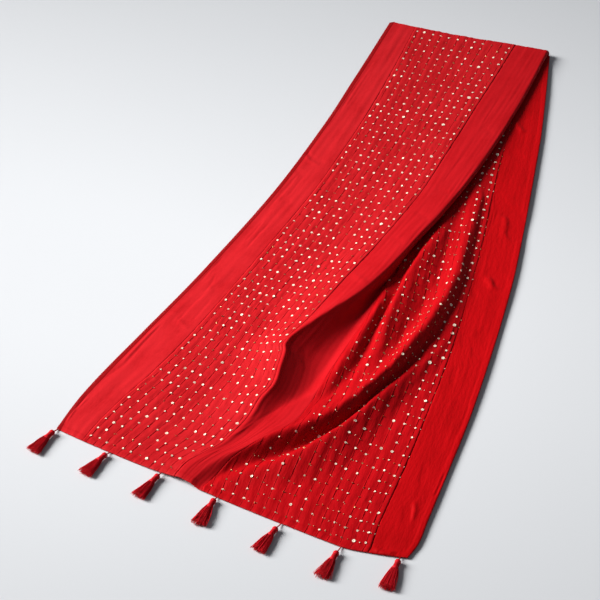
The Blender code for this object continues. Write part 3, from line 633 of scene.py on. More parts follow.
@dataclass
class ClothGrid:
    """A stretch of cloth as rows of points, from the fold to the hem.

    Attributes:
        across: Rows x columns of places across the cut, mm.
        along: Rows x columns of places along the cut, mm.
        middle: Rows x columns x 3 points in the cloth's middle, mm.
        facing: Rows x columns x 3 unit normals.
        weave: Rows x columns of places across the cut that the relief and the finish follow. They
            differ from across where spare cloth is gathered into the pleat, mm.
        kept: Which points show, as against those inside the closed pleat.
        top: The outer face's points once the relief is pressed in, mm.
    """

    across: Array
    along: Array
    middle: Array
    facing: Array
    weave: Array
    kept: Array
    top: Array = field(default_factory=lambda: np.zeros(0))

    def raise_top(self, height: Array) -> None:
        """Sets the outer face at a height over the middle, mm at each point."""
        self.top = self.middle + self.facing * height[..., None]

    def underside(self, depth: float) -> Array:
        """The inner face's points, a depth under the middle, mm."""
        return self.middle - self.facing * depth

    def shell(self, depth: float, tone: float = 0.5) -> Patch:
        """A closed thin shell from the outer face to the underside.

        Args:
            depth: How far under the middle the underside lies, mm.
            tone: The finish's tone.

        Returns:
            The patch.
        """
        count = self.across.size
        number = np.arange(count).reshape(self.across.shape)
        quads = np.stack(
            [number[:-1, :-1], number[1:, :-1], number[1:, 1:], number[:-1, 1:]], axis=-1
        ).reshape(-1, 4)
        quads = quads[self.kept.ravel()[quads].all(axis=1)]
        ends = np.stack([quads, np.roll(quads, -1, axis=1)], axis=-1).reshape(-1, 2)
        codes = ends[:, 0] * count + ends[:, 1]
        rim = ends[~np.isin(codes, ends[:, 1] * count + ends[:, 0])]
        walls = np.stack([rim[:, 1], rim[:, 0], rim[:, 0] + count, rim[:, 1] + count], axis=-1)
        faces = np.concatenate([quads, quads[:, ::-1] + count, walls])
        points = np.concatenate([self.top.reshape(-1, 3), self.underside(depth).reshape(-1, 3)])
        cloth = np.stack([self.weave.ravel(), self.along.ravel()], axis=1)
        cloth = np.concatenate([cloth, cloth])
        used, faces = np.unique(faces, return_inverse=True)
        faces = [tuple(face) for face in faces.reshape(-1, 4).tolist()]
        return Patch(points[used], faces, cloth[used], np.full(len(used), tone))

    def flat_area(self) -> float:
        """The cut's area that this stretch shows, in square metres.

        Where the cloth is gathered out of sight into the pleat, only what shows counts.
        """
        kept = self.kept[:-1, :-1] & self.kept[1:, 1:] & self.kept[1:, :-1] & self.kept[:-1, 1:]
        wide = np.minimum(np.diff(self.across, axis=1)[:-1], self._widths()[:-1] * GATHERED)
        long = -np.diff(self.along, axis=0)[:, :-1]
        return float((wide * long * kept).sum()) * MM * MM

    def _widths(self) -> Array:
        """How wide each cell lies across the cloth, mm."""
        return np.linalg.norm(np.diff(self.middle, axis=1), axis=2)

    def place(self, across: Array, along: Array) -> tuple[Array, Array, Array]:
        """Finds places on the outer face.

        Args:
            across: N places across the cut, mm.
            along: N places along the cut, mm.

        Returns:
            N points, N normals and N directions that run across the cloth.
        """
        rows, columns = self.along[:, 0], self.across[0]
        down = np.clip(np.searchsorted(-rows, -along) - 1, 0, len(rows) - 2)
        left = np.clip(np.searchsorted(columns, across) - 1, 0, len(columns) - 2)
        share = np.clip((rows[down] - along) / (rows[down] - rows[down + 1]), 0.0, 1.0)
        part = np.clip((across - columns[left]) / (columns[left + 1] - columns[left]), 0.0, 1.0)
        share, part = share[:, None], part[:, None]

        def between(grid: Array) -> Array:
            """The grid's value at each place."""
            upper = grid[down, left] * (1.0 - part) + grid[down, left + 1] * part
            lower = grid[down + 1, left] * (1.0 - part) + grid[down + 1, left + 1] * part
            return upper * (1.0 - share) + lower * share

        right = unit(self.middle[down, left + 1] - self.middle[down, left])
        return between(self.top), unit(between(self.facing)), right

    def covers(self, across: Array, along: Array) -> Array:
        """Which places lie on cloth that shows and isn't gathered into the pleat."""
        rows = self.along[:, 0]
        row = np.clip(np.searchsorted(-rows, -along), 0, len(rows) - 1)
        column = np.clip(np.searchsorted(self.across[0], across), 1, self.across.shape[1] - 1)
        smooth = self._widths() * GATHERED > np.diff(self.across, axis=1)
        shown = self.kept[row, column] & smooth[row, column - 1]
        return shown & (along <= rows[0]) & (along >= rows[-1])


@dataclass
class Loom:
    """Lays strips of cloth over the cloth's form.

    Attributes:
        form: The lie of the cloth.
        row_step: Distance between rows, mm.
        reach: How far apart the points are that a normal is measured from, mm.
        gather: How far from the pleat spare cloth is gathered, mm.
        spare_reach: The same against how much spare cloth there is, if that is more.
        hem_band: Width of the hem, where rows are listed one by one, mm.
        hem_rows: Their distances from the edge, mm.
        pleat_steps: Points at which the cloth beside the pleat is measured.
    """

    form: ClothForm
    row_step: float = 3.6
    reach: float = 0.6
    gather: float = 5.0
    spare_reach: float = 1.5
    hem_band: float = 12.0
    hem_rows: tuple[float, ...] = (10.0, 8.6, 7.6, 5.0, 2.4, 0.8, 0.0)
    pleat_steps: int = 481

    def rows(self) -> list[float]:
        """Places of the rows, from the fold to the hem."""
        first, last = self.form.fold_end, self.form.hem_end
        count = int((first - last - self.hem_band) / self.row_step)
        body = np.linspace(first, last + self.hem_band, count)
        return np.concatenate([body, last + np.array(self.hem_rows)]).tolist()

    def lay(self, columns: Array, under_pleat: bool) -> ClothGrid:
        """Lays one strip.

        Args:
            columns: Places across the cut.
            under_pleat: Whether the strip lies under the crest where the pleat is closed. The
                other strips turn down over the cross fold.

        Returns:
            The strip's grid.
        """
        rows = self.rows()
        middle, facing, kept, weave = [], [], [], []
        for number, row in enumerate(rows):
            places, followed, edge = columns, columns, 0.0
            if under_pleat:
                places, followed, edge = self._drawn(row, columns)
            right = self._read(row, places + self.reach, under_pleat)
            left = self._read(row, places - self.reach, under_pleat)
            above = self._read(rows[max(number - 1, 0)], places, under_pleat)
            below = self._read(rows[min(number + 1, len(rows) - 1)], places, under_pleat)
            middle.append(self._read(row, places, under_pleat))
            facing.append(unit(np.cross(right - left, above - below)))
            kept.append(places >= edge)
            weave.append(followed)
        along = list(rows)
        if not under_pleat:
            self._turn(along, middle, facing)
            kept = kept[:1] * (len(along) - len(rows)) + kept
            weave = weave[:1] * (len(along) - len(rows)) + weave
        along_grid = np.repeat(np.array(along)[:, None], len(columns), axis=1)
        across_grid = np.repeat(columns[None], len(along), axis=0)
        return ClothGrid(
            across_grid, along_grid, np.array(middle), np.array(facing), np.array(weave),
            np.array(kept),
        )

    def _drawn(self, row: float, columns: Array) -> tuple[Array, Array, float]:
        """Lays the cloth beside the pleat evenly from its far seam, and spare cloth at the foot.

        Args:
            row: The row, mm along.
            columns: Places across the cut.

        Returns:
            Where the form's tables have those places, the places that the relief follows, and
            where the tables' cloth first shows.
        """
        start, end = Strip.PANEL_RIGHT.start, Strip.PANEL_RIGHT.end
        closed = row >= self.form.pleat_opens
        edge = self.form.tuck_edge(row) if closed else start
        if columns[0] > end - 1.0:
            return columns, columns, edge
        table = np.linspace(start, end, self.pleat_steps)
        points = self._read(row, table, True)
        steps = np.linalg.norm(np.diff(points, axis=0), axis=1)
        from_seam = np.concatenate([np.cumsum(steps[::-1])[::-1], [0.0]])
        cut = even = end - from_seam
        if not closed:
            spare = cut[0] - start
            reach = max(self.gather, -self.spare_reach * spare)
            cut = cut - spare * np.exp(-(((from_seam[0] - from_seam) / reach) ** 2))
        places = np.interp(columns, cut, table)
        return places, np.interp(places, table, even), edge

    def _read(self, row: float, cloth: Array, under_pleat: bool) -> Array:
        """Points of a row at places across the cut."""
        lower = under_pleat and row >= self.form.pleat_opens
        return self.form.section(row, lower).at(cloth)

    def _turn(self, along: list[float], middle: list[Array], facing: list[Array]) -> None:
        """Puts the cross fold's turned end in front of the rows, down to the lower layer."""
        first, up = middle[0], facing[0]
        radius = (first[:, 2] - self.form.lowest_middle) / 2.0
        before = 0.0
        for angle in self.form.turn_angles:
            turn = math.radians(angle)
            points = first.copy()
            points[:, 1] += radius * math.sin(turn)
            points[:, 2] += radius * (math.cos(turn) - 1.0)
            normal = up * np.array([1.0, 0.0, 0.0])
            normal[:, 1] = math.sin(turn)
            normal[:, 2] = math.cos(turn)
            along.insert(0, along[0] + float(radius.mean()) * math.radians(angle - before))
            middle.insert(0, points)
            facing.insert(0, unit(normal))
            before = angle


# ---------------------------------------------------------------------------------------
# Node maths


@dataclass(frozen=True)
class Noise:
    """One size of unevenness in a finish.

    Attributes:
        size: Typical size of a bump across and along the cut, mm.
        detail: How many finer steps it has.
        roughness: How strong those are.
    """

    size: tuple[float, float]
    detail: float
    roughness: float = 0.5


class Value:
    """A number socket that maths can be written on."""

    def __init__(self, bench: "Bench", socket: bpy.types.NodeSocket) -> None:
        """Wraps a socket of the bench's material."""
        self.bench = bench
        self.socket = socket

    def _math(self, operation: str, first: object, second: object) -> "Value":
        """Adds one Math node and returns what it gives."""
        settings = {"operation": operation}
        return self.bench.value("ShaderNodeMath", settings, {0: first, 1: second})

    def __add__(self, other: object) -> "Value":
        """Sum."""
        return self._math("ADD", self, other)

    __radd__ = __add__

    def __sub__(self, other: object) -> "Value":
        """Difference."""
        return self._math("SUBTRACT", self, other)

    def __rsub__(self, other: object) -> "Value":
        """Difference, the other way round."""
        return self._math("SUBTRACT", other, self)

    def __mul__(self, other: object) -> "Value":
        """Product."""
        return self._math("MULTIPLY", self, other)

    __rmul__ = __mul__

    def __truediv__(self, other: object) -> "Value":
        """Quotient."""
        return self._math("DIVIDE", self, other)

    def fraction(self) -> "Value":
        """What follows the decimal point."""
        return self._math("FRACT", self, 0.0)

    def absolute(self) -> "Value":
        """The number without its sign."""
        return self._math("ABSOLUTE", self, 0.0)

    def eased(self, low: float, high: float) -> "Value":
        """0 under low, 1 over high, and smooth between; low may be over high."""
        settings = {"interpolation_type": "SMOOTHSTEP"}
        if low > high:
            return 1.0 - self.eased(high, low)
        return self.bench.value(
            "ShaderNodeMapRange", settings, {"Value": self, "From Min": low, "From Max": high}
        )


class Bench:
    """One material's node tree, with a Principled shader ready to be dressed."""

    def __init__(self, name: str) -> None:
        """Starts a material.

        Args:
            name: The material's name.
        """
        self.material = bpy.data.materials.new(name)
        self.material.use_nodes = True
        self.tree = self.material.node_tree
        self.shader = self.tree.nodes["Principled BSDF"]

    def add(self, kind: str, settings: dict, sockets: dict) -> bpy.types.Node:
        """Adds a node.

        Args:
            kind: The node's type.
            settings: Properties, set before the sockets.
            sockets: Values, colours, Values or sockets by input name or number.

        Returns:
            The node.
        """
        node = self.tree.nodes.new(kind)
        for name, setting in settings.items():
            setattr(node, name, setting)
        for name, content in sockets.items():
            self.plug(node.inputs[name], content)
        return node

    def plug(self, target: bpy.types.NodeSocket, content: object) -> None:
        """Links a socket or a Value to an input, or sets the input."""
        if isinstance(content, Value):
            content = content.socket
        if isinstance(content, bpy.types.NodeSocket):
            self.tree.links.new(content, target)
        else:
            target.default_value = content

    def value(self, kind: str, settings: dict, sockets: dict, output: object = 0) -> Value:
        """Adds a node and wraps one of its outputs as a number."""
        return Value(self, self.add(kind, settings, sockets).outputs[output])

    def mixed(self, share: object, first: object, second: object) -> bpy.types.NodeSocket:
        """Mixes two colours by a share."""
        sockets = {0: share, 6: first, 7: second}
        return self.add("ShaderNodeMix", {"data_type": "RGBA"}, sockets).outputs[2]

    def cloth(self) -> tuple[Value, Value]:
        """Places across and along the cut, in mm."""
        read = self.add("ShaderNodeUVMap", {"uv_map": CLOTH_MAP}, {}).outputs[0]
        parts = self.add("ShaderNodeSeparateXYZ", {}, {0: read}).outputs
        return Value(self, parts[0]) * (1.0 / MM), Value(self, parts[1]) * (1.0 / MM)

    def noise(self, place: tuple[Value, Value], kind: Noise) -> Value:
        """Noise of about 0 to 1.

        Args:
            place: Places across and along the cut, mm.
            kind: Its size and detail.

        Returns:
            The noise.
        """
        scaled = {number: part / size for number, (part, size) in enumerate(zip(place, kind.size))}
        vector = self.add("ShaderNodeCombineXYZ", {}, scaled).outputs[0]
        sockets = {
            "Vector": vector, "Scale": 1.0, "Detail": kind.detail, "Roughness": kind.roughness,
        }
        return self.value("ShaderNodeTexNoise", {}, sockets, "Fac")

    def tone(self) -> Value:
        """The tone that the mesh carries."""
        return self.value("ShaderNodeAttribute", {"attribute_name": "tone"}, {}, "Fac")

    def bumped(self, height: Value, distance: float, strength: float) -> None:
        """Feeds a height in mm to the shader's normal."""
        sockets = {"Height": height, "Distance": distance * MM, "Strength": strength}
        self.plug(self.shader.inputs["Normal"], self.add("ShaderNodeBump", {}, sockets).outputs[0])

    def dress(self, **values: object) -> None:
        """Feeds the shader's own sockets, named with underscores for spaces."""
        for name, content in values.items():
            self.plug(self.shader.inputs[name.replace("_", " ")], content)


# ---------------------------------------------------------------------------------------
# Finishes


Colour = tuple[float, float, float]
IOR = 1.5


def opaque(colour: Colour) -> tuple[float, float, float, float]:
    """A colour with full alpha."""
    return (*colour, 1.0)


def dimmed(colour: Colour, share: float) -> Colour:
    """A colour at a share of its brightness."""
    return tuple(channel * share for channel in colour)


@dataclass(frozen=True)
class Tucks:
    """Rows of stitching down a panel.

    Attributes:
        start: Where the panel starts across the cut, mm.
        spacing: Distance between rows of stitching, mm.
        count: How many rows there are.
    """

    start: float
    spacing: float
    count: int

    def places(self) -> Array:
        """Where the rows of stitching lie across the cut, mm."""
        return self.start + self.spacing * (np.arange(self.count) + 0.5)

    def offset(self, across: Array) -> Array:
        """Distance to the nearest row of stitching, mm, more than 0 on its right."""
        share = (across - self.start) / self.spacing
        return (share - np.floor(share) - 0.5) * self.spacing


# The silk's unevenness, and how much each kind adds to its height and to its shade. A finish
# sets for itself how much the fine streaks and the short puckers add.
SILK_NOISE = {
    "fine": Noise((1.9, 13.0), 3.0, 0.6),
    "broad": Noise((8.0, 42.0), 2.0),
    "short": Noise((3.4, 9.0), 3.0, 0.55),
    "slub": Noise((26.0, 0.9), 1.0),
    "grain": Noise((0.5, 0.6), 1.0),
    "cloud": Noise((38.0, 60.0), 2.0),
}
SILK_HEIGHTS = {"broad": 0.8, "slub": 0.08, "grain": 0.05}
SILK_SHADES = {"short": 0.5, "cloud": 1.0, "slub": 0.35}
SMOOTH_SHADE, STREAK_SHADE = 0.22, 1.4
# How the tucks wander, and where they are strong.
TUCK_WANDER, TUCK_STRENGTH = Noise((9.0, 24.0), 1.0), Noise((7.0, 13.0), 2.0)
# What the raised line of a tuck and the gap beside it add to the height and to the shade: the line
# gets a painted highlight and the gap a painted shade.
TUCK_LINE_AND_HIGHLIGHT, TUCK_GAP_AND_SHADE = (0.42, -0.45), (-0.3, 0.4)
# A turned edge drawn darker, a painted shade: how long its sides take to fade, mm, what it adds
# to the shade, its colour as a share of the deep one, and how far the silk takes that.
PAINTED_EDGE_FADE, PAINTED_EDGE_SHADE, PAINTED_EDGE_DARK, PAINTED_EDGE_SHARE = 0.8, 0.8, 0.5, 0.85


@dataclass(frozen=True)
class SilkFinish:
    """Crinkled plain silk.

    Attributes:
        name: The material's name.
        light: Base colour where the cloth is smooth.
        deep: Base colour in slubs and darker mottling, and in the painted shade of the tucks' gaps
            and of a turned edge.
        tucks: Rows of stitching, if the cloth has them.
        crinkle: Depth of the lengthwise crinkle, mm.
        pucker: How strong the short wrinkles are against the long ones.
        streak: How strong the fine lengthwise streaks are against the long ones.
        edge: Where a turned edge's strip, drawn darker as a painted shade, starts and ends across
            the cut, if there is one, mm.
    """

    name: str
    light: Colour = (0.56, 0.0065, 0.0115)
    deep: Colour = (0.42, 0.0015, 0.0035)
    tucks: Tucks | None = None
    crinkle: float = 0.5
    pucker: float = 0.45
    streak: float = 0.15
    edge: tuple[float, float] | None = None

    def material(self) -> bpy.types.Material:
        """Builds the material."""
        bench = Bench(self.name)
        place = bench.cloth()
        noise = {name: bench.noise(place, kind) for name, kind in SILK_NOISE.items()}
        streaks = noise["fine"] - 0.5
        height = noise["fine"] * self.streak + noise["short"] * self.pucker
        for name, share in SILK_HEIGHTS.items():
            height = height + noise[name] * share
        shade = streaks * (self.streak * STREAK_SHADE) + SMOOTH_SHADE
        for name, share in SILK_SHADES.items():
            shade = shade + (noise[name] - 0.5) * share
        # Each tuck's raised line gets a painted highlight, and the gap on its right a painted
        # shade.
        if self.tucks is not None:
            for shown, (raised, darker) in zip(self._stitched(bench, place), (TUCK_LINE_AND_HIGHLIGHT, TUCK_GAP_AND_SHADE)):
                height = height + shown * raised
                shade = shade + shown * darker
        # A strip along a turned edge is drawn darker: a painted shade.
        inside = 0.0
        if self.edge is not None:
            start, end = self.edge
            inside = place[0].eased(start, start + PAINTED_EDGE_FADE)
            inside = inside * place[0].eased(end, end - PAINTED_EDGE_FADE)
            shade = shade + inside * PAINTED_EDGE_SHADE
        colour = bench.mixed(shade.eased(0.0, 1.0), opaque(self.light), opaque(self.deep))
        # The turned edge's strip is mixed towards a darker red: the painted shade.
        if self.edge is not None:
            dark = opaque(dimmed(self.deep, PAINTED_EDGE_DARK))
            colour = bench.mixed(inside * PAINTED_EDGE_SHARE, colour, dark)
        bench.bumped(height, distance=self.crinkle, strength=1.0)
        bench.dress(
            Base_Color=colour, Roughness=0.5 + streaks * 0.16, IOR=IOR,
            Specular_IOR_Level=0.06, Sheen_Weight=0.04, Sheen_Roughness=0.5,
            Sheen_Tint=opaque((1.0, 0.12, 0.12)),
        )
        return bench.material

    def _stitched(self, bench: Bench, place: tuple[Value, Value]) -> tuple[Value, Value]:
        """The raised line of each tuck, which gets a painted highlight, and the gap on its right,
        which gets a painted shade, 0 to 1.
        """
        share = ((place[0] - self.tucks.start) / self.tucks.spacing).fraction()
        offset = (share - 0.5) * self.tucks.spacing
        offset = offset + (bench.noise(place, TUCK_WANDER) - 0.5) * 1.6
        strong = bench.noise(place, TUCK_STRENGTH).eased(low=0.36, high=0.6)
        line = (offset + 0.35).absolute().eased(0.75, 0.15) * (0.3 + strong * 0.7)
        gap = (offset - 0.55).absolute().eased(1.0, 0.25) * (0.12 + strong * 0.88)
        return line, gap


@dataclass(frozen=True)
class SequinFinish:
    """Pearly sequins, from dull gold to bright cream by their tone. The darker gold is partly the
    sequins' own and partly a painted shade for sequins tilted away from the light.

    Attributes:
        name: The material's name.
        cream: Base colour of the brightest.
        gold: Base colour of the dullest, partly their own and partly a painted shade.
        film: The cloudy film on them.
    """

    name: str = "sequin"
    cream: Colour = (1.0, 0.89, 0.70)
    gold: Colour = (0.42, 0.20, 0.06)
    film: Noise = Noise((1.4, 1.4), 2.0)

    def material(self) -> bpy.types.Material:
        """Builds the material."""
        bench = Bench(self.name)
        tone, film = bench.tone(), bench.noise(bench.cloth(), self.film)
        share = (tone * 1.1 + (film - 0.5) * 0.3).eased(0.15, 0.85)
        bench.dress(
            Base_Color=bench.mixed(share, opaque(self.gold), opaque(self.cream)),
            Roughness=0.22 + film * 0.16, Metallic=0.35 - tone * 0.33,
            IOR=IOR, Specular_IOR_Level=0.6,
        )
        return bench.material


@dataclass(frozen=True)
class ThreadFinish:
    """Twisted thread, from one colour to another by the mesh's tone.

    Attributes:
        name: The material's name.
        dark: Base colour at tone 0.
        light: Base colour at tone 1.
        plies: The thread's twist.
    """

    name: str
    dark: Colour
    light: Colour
    plies: Noise = Noise((0.5, 1.6), 2.0)

    def material(self) -> bpy.types.Material:
        """Builds the material."""
        bench = Bench(self.name)
        ply = bench.noise(bench.cloth(), self.plies)
        share = (bench.tone() + (ply - 0.5) * 0.5).eased(0.0, 1.0)
        bench.bumped(ply, distance=0.15, strength=0.8)
        bench.dress(
            Base_Color=bench.mixed(share, opaque(self.dark), opaque(self.light)),
            Roughness=0.6 + (ply - 0.5) * 0.2, Specular_IOR_Level=0.15,
            Sheen_Weight=0.06, Sheen_Roughness=0.4, Sheen_Tint=opaque((1.0, 0.15, 0.2)),
        )
        return bench.material


@dataclass(frozen=True)
class FloorFinish:
    """A matt pale surface.

    Attributes:
        name: The material's name.
        colour: Base colour.
        dim: Share of it that the faint clouds have.
    """

    name: str = "pale_floor"
    colour: Colour = (0.615, 0.632, 0.655)
    dim: float = 0.985

    def material(self) -> bpy.types.Material:
        """Builds the material."""
        bench = Bench(self.name)
        place = bench.add("ShaderNodeTexCoord", {}, {}).outputs["Object"]
        sockets = {"Vector": place, "Scale": 0.9, "Detail": 2.0}
        cloud = bench.value("ShaderNodeTexNoise", {}, sockets, "Fac").eased(0.3, 0.7)
        dim = opaque(dimmed(self.colour, self.dim))
        bench.dress(
            Base_Color=bench.mixed(cloud, opaque(self.colour), dim),
            Roughness=0.62, Specular_IOR_Level=0.3,
        )
        return bench.material


# ---------------------------------------------------------------------------------------
# Cloth


def dressed(made: bpy.types.Object, finish: bpy.types.Material) -> bpy.types.Object:
    """Gives a piece its finish and lets it ride on the stole.

    Args:
        made: The piece.
        finish: Its material.

    Returns:
        The piece.
    """
    made.data.materials.append(finish)
    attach(made, ROOT)
    log.info("%s: %d faces", made.name, len(made.data.polygons))
    return made


# Height of smooth cloth's outer face over the cloth's middle, and the least it may be, mm.
FACE_HEIGHT, LEAST_HEIGHT = 0.65, 0.2
# The soft unevenness: size of its bumps across and along, mm, and its share.
UNEVEN = (((5.0, 60.0), 0.45), ((14.0, 120.0), 0.55))
# How far a seam draws the cloth in, and how far from the seam it does, mm.
SEAM_DEPTH, SEAM_WIDTH = 0.3, 1.3
# How much thicker a turned hem is, mm, and how much of that its rolled edge loses.
HEM_THICKNESS, HEM_ROLL = 0.45, 0.6
# Cloth next to the pleat is flat for the first distance and has its relief after both, mm.
PLEAT_FLAT, PLEAT_RAMP = 3.0, 9.0


def hem_rise(away: Array, width: float, ramp: float, roll: float) -> Array:
    """Extra thickness of a hem with a rising inner side and a rolled edge, all in mm."""
    rolled = 1.0 - HEM_ROLL * np.exp(-((away / roll) ** 2))
    return HEM_THICKNESS * smooth_step((width - away) / ramp) * rolled


@dataclass
class ClothStrip:
    """A strip of the stole.

    Attributes:
        node: The solid that it stands for.
        strip: Which strip of the cut.
        slot: The record's slot. Not used.
        finish: The silk.
        creases: Listed creases: path, half width and height of each, mm.
        ripple: Depth of the soft unevenness, mm.
        column_step: Distance between columns, mm.
        thickness: Depth of the underside under the middle, mm.
        seed: Which unevenness.
    """

    node: str
    strip: Strip
    slot: str
    finish: SilkFinish
    creases: Creases = ()
    ripple: float = 0.35
    column_step: float = 1.5
    thickness: float = 0.45
    seed: int = 1

    def columns(self) -> Array:
        """Places across the cut."""
        start, end = self.strip.start, self.strip.end
        return np.linspace(start, end, int((end - start) / self.column_step) + 1)

    def relief(self, across: Array, along: Array) -> Array:
        """Height of the outer face over the middle, mm."""
        height = np.full(across.shape, FACE_HEIGHT)
        for step, (size, share) in enumerate(UNEVEN):
            height += self.ripple * share * soft_noise(across, along, size, self.seed + step)
        for crease in self.creases:
            height += Crease(*crease).press(across, along)
        return height

    def _seams(self, across: Array) -> Array:
        """How far the cloth is drawn in next to its seams, mm."""
        drawn = np.zeros(across.shape)
        for place in self.strip.value:
            if Strip.BORDER_LEFT.start < place < Strip.BORDER_RIGHT.end:
                drawn += SEAM_DEPTH * np.exp(-(((across - place) / SEAM_WIDTH) ** 2))
        return drawn

    def _hems(self, grid: ClothGrid, form: ClothForm) -> Array:
        """Extra thickness of the turned hems, mm."""
        rises = [hem_rise(grid.along - form.hem_end, width=9.2, ramp=1.4, roll=0.9)]
        for edge in (Strip.BORDER_LEFT.start, Strip.BORDER_RIGHT.end):
            rises.append(hem_rise(np.abs(grid.across - edge), width=8.6, ramp=1.2, roll=0.8))
        return np.maximum.reduce(rises)

    def lay(self, loom: Loom) -> ClothGrid:
        """Lays the strip and presses its relief in."""
        grid = loom.lay(self.columns(), self.strip.under_pleat)
        height = self.relief(grid.weave, grid.along)
        height += self._hems(grid, loom.form) - self._seams(grid.across)
        if self.strip.under_pleat:
            height = self._flatten_in_pleat(grid, height, loom.form)
        grid.raise_top(np.maximum(height, LEAST_HEIGHT))
        return grid

    def _flatten_in_pleat(self, grid: ClothGrid, height: Array, form: ClothForm) -> Array:
        """Flattens what lies inside the closed pleat, so that it clears the crest."""
        first = np.where(grid.kept, grid.across, PAST_CUT).min(axis=1, keepdims=True)
        eased = smooth_step((grid.across - first - PLEAT_FLAT) / PLEAT_RAMP)
        share = np.where(grid.along >= form.pleat_opens, eased, 1.0)
        return FACE_HEIGHT + (height - FACE_HEIGHT) * share

    def build(self, loom: Loom) -> ClothGrid:
        """Builds and dresses the strip.

        Args:
            loom: Lays the strip.

        Returns:
            The strip's grid, for what is sewn on it.
        """
        grid = self.lay(loom)
        made = dressed(
            joined(f"{self.node}_silk", [grid.shell(self.thickness)]),
            self.finish.material(),
        )
        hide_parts(self.node)
        self.strip.end * MM - self.strip.start * MM
        grid.flat_area()
        return grid


# ---------------------------------------------------------------------------------------
# Sequins, beads and stitches


@dataclass(frozen=True)
class Stamp:
    """A small mesh that is copied many times, such as a sequin.

    Attributes:
        points: Points over a unit size: across, ahead, up.
        faces: Its faces.
    """

    points: Array
    faces: Array

    def copies(
        self, centres: Array, frames: Array, sizes: Sequence[Array | float], tones: Array,
        cloth: Array,
    ) -> Patch:
        """Makes the copies.

        Args:
            centres: N x 3 places, mm.
            frames: N x 3 x 3, whose rows are each copy's across, ahead and up.
            sizes: Sizes along those three, each N of them or one for all, mm.
            tones: N tones.
            cloth: N x 2 places on the cut.

        Returns:
            One patch with every copy.
        """
        number, count = len(centres), len(self.points)
        sizes = np.stack([np.broadcast_to(size, number) for size in sizes], axis=1)
        scaled = self.points[None] * sizes[:, None]
        points = np.einsum("npi,nij->npj", scaled, frames) + centres[:, None]
        start = (np.arange(number) * count)[:, None, None]
        faces = (self.faces[None] + start).reshape(-1, self.faces.shape[1])
        places = cloth[:, None] + scaled[:, :, :2]
        return Patch(
            points.reshape(-1, 3),
            [tuple(face) for face in faces.tolist()],
            places.reshape(-1, 2),
            np.repeat(tones, count),
        )


def ring_stamp(sides: int, rings: Sequence[tuple[float, float]]) -> Stamp:
    """A turned ring, such as a sequin with its hole.

    Args:
        sides: How many sides.
        rings: Radius and height of each ring of points, round the section in order.

    Returns:
        The stamp, whose outer radius is 1.
    """
    angles = 2.0 * math.pi * (np.arange(sides) + 0.5) / sides
    points = np.array(
        [(r * math.cos(a), r * math.sin(a), h) for r, h in rings for a in angles], float
    )
    number = np.arange(len(points)).reshape(len(rings), sides)
    above, beside = np.roll(number, -1, axis=0), np.roll(number, -1, axis=1)
    faces = np.stack([number, beside, np.roll(above, -1, axis=1), above], axis=-1)
    return Stamp(points, faces.reshape(-1, 4))


# A short flattened bar with pointed shoulders: its sections down its length, as place and width,
# and the four corners of each section.
DASH_SECTIONS = ((-1.0, 0.35), (-0.55, 1.0), (0.55, 1.0), (1.0, 0.35))
DASH_CORNERS = ((-1.0, 0.0), (0.0, 1.0), (1.0, 0.0), (0.0, -0.6))


def dash_stamp() -> Stamp:
    """A short flattened bar with pointed shoulders, for a stitch or a bead of thread."""
    points = [
        (x * width, y, z * width) for y, width in DASH_SECTIONS for x, z in DASH_CORNERS
    ]
    faces = stacked(len(DASH_SECTIONS), len(DASH_CORNERS))
    return Stamp(np.array(points, float), np.array(faces))


def frames_from(up: Array, right: Array, turn: Array) -> Array:
    """Frames for copies on the cloth.

    Args:
        up: N x 3 normals.
        right: N x 3 directions across.
        turn: N angles about the normal, radians.

    Returns:
        N x 3 x 3, whose rows are across, ahead and up.
    """
    ahead = unit(np.cross(up, right))
    side = np.cross(ahead, up)
    first = side * np.cos(turn)[:, None] + ahead * np.sin(turn)[:, None]
    return np.stack([first, np.cross(up, first), up], axis=1)


@dataclass(frozen=True)
class Seats:
    """Places on a panel where things are sewn on.

    Attributes:
        cloth: N x 2 places on the cut, mm.
        point: N x 3 points on the outer face, mm.
        up: N x 3 normals.
        right: N x 3 directions across the cloth.
    """

    cloth: Array
    point: Array
    up: Array
    right: Array

    def some(self, chosen: Array) -> "Seats":
        """Those that are chosen."""
        return Seats(self.cloth[chosen], self.point[chosen], self.up[chosen], self.right[chosen])


def sown(
    grid: ClothGrid, draw: np.random.Generator, columns: Array, rows: Array,
    stray: tuple[float, float, float], missing: float = 0.0,
) -> Seats:
    """Seats where columns and rows cross, each a little off its place.

    Args:
        grid: The cloth.
        draw: Gives the unevenness.
        columns: Places across the cut, mm.
        rows: Places along the cut, mm.
        stray: Mean and deviation of the offset across, and deviation along, mm.
        missing: Share of the places that are left empty.

    Returns:
        The seats that lie on cloth that shows.
    """
    across, along = (place.ravel() for place in np.meshgrid(columns, rows))
    across = across + draw.normal(stray[0], stray[1], across.shape)
    along = along + draw.normal(0.0, stray[2], along.shape)
    shown = grid.covers(across, along)
    if missing:
        shown &= draw.random(across.shape) > missing
    across, along = across[shown], along[shown]
    return Seats(np.stack([across, along], axis=1), *grid.place(across, along))


# Sequins: radius of most, mm, the share past which one is large, the size of large and of dull
# ones against the others, and how far dull ones and others tilt, degrees.
SEQUIN_RADIUS, LARGE_FROM, LARGE_SIZE, DULL_SIZE = 1.55, 0.94, 1.4, 0.72
DULL_TILT, PLAIN_TILT = 38.0, 9.0
# Tones of dull, plain and bright sequins, from and to. The dull ones' darker tones are partly a
# painted shade for sequins tilted away from the light.
DULL_SHADED_TONES, PLAIN_TONES, BRIGHT_TONES = (0.0, 0.45), (0.45, 0.9), (0.85, 1.0)
# Radius and height of each ring of a section, against the radius and in mm.
SEQUIN_RINGS: Rows = ((1.0, 0.0), (1.0, 0.22), (0.62, 0.10), (0.26, 0.02), (0.26, -0.16))
BEAD_RINGS: Rows = ((0.75, -0.4), (1.0, 0.15), (0.85, 0.6), (0.35, 0.85), (0.3, 0.0))
# The most that random draws turn things on the cloth by, radians.
FULL_TURN, HALF_TURN = 6.28, 3.1


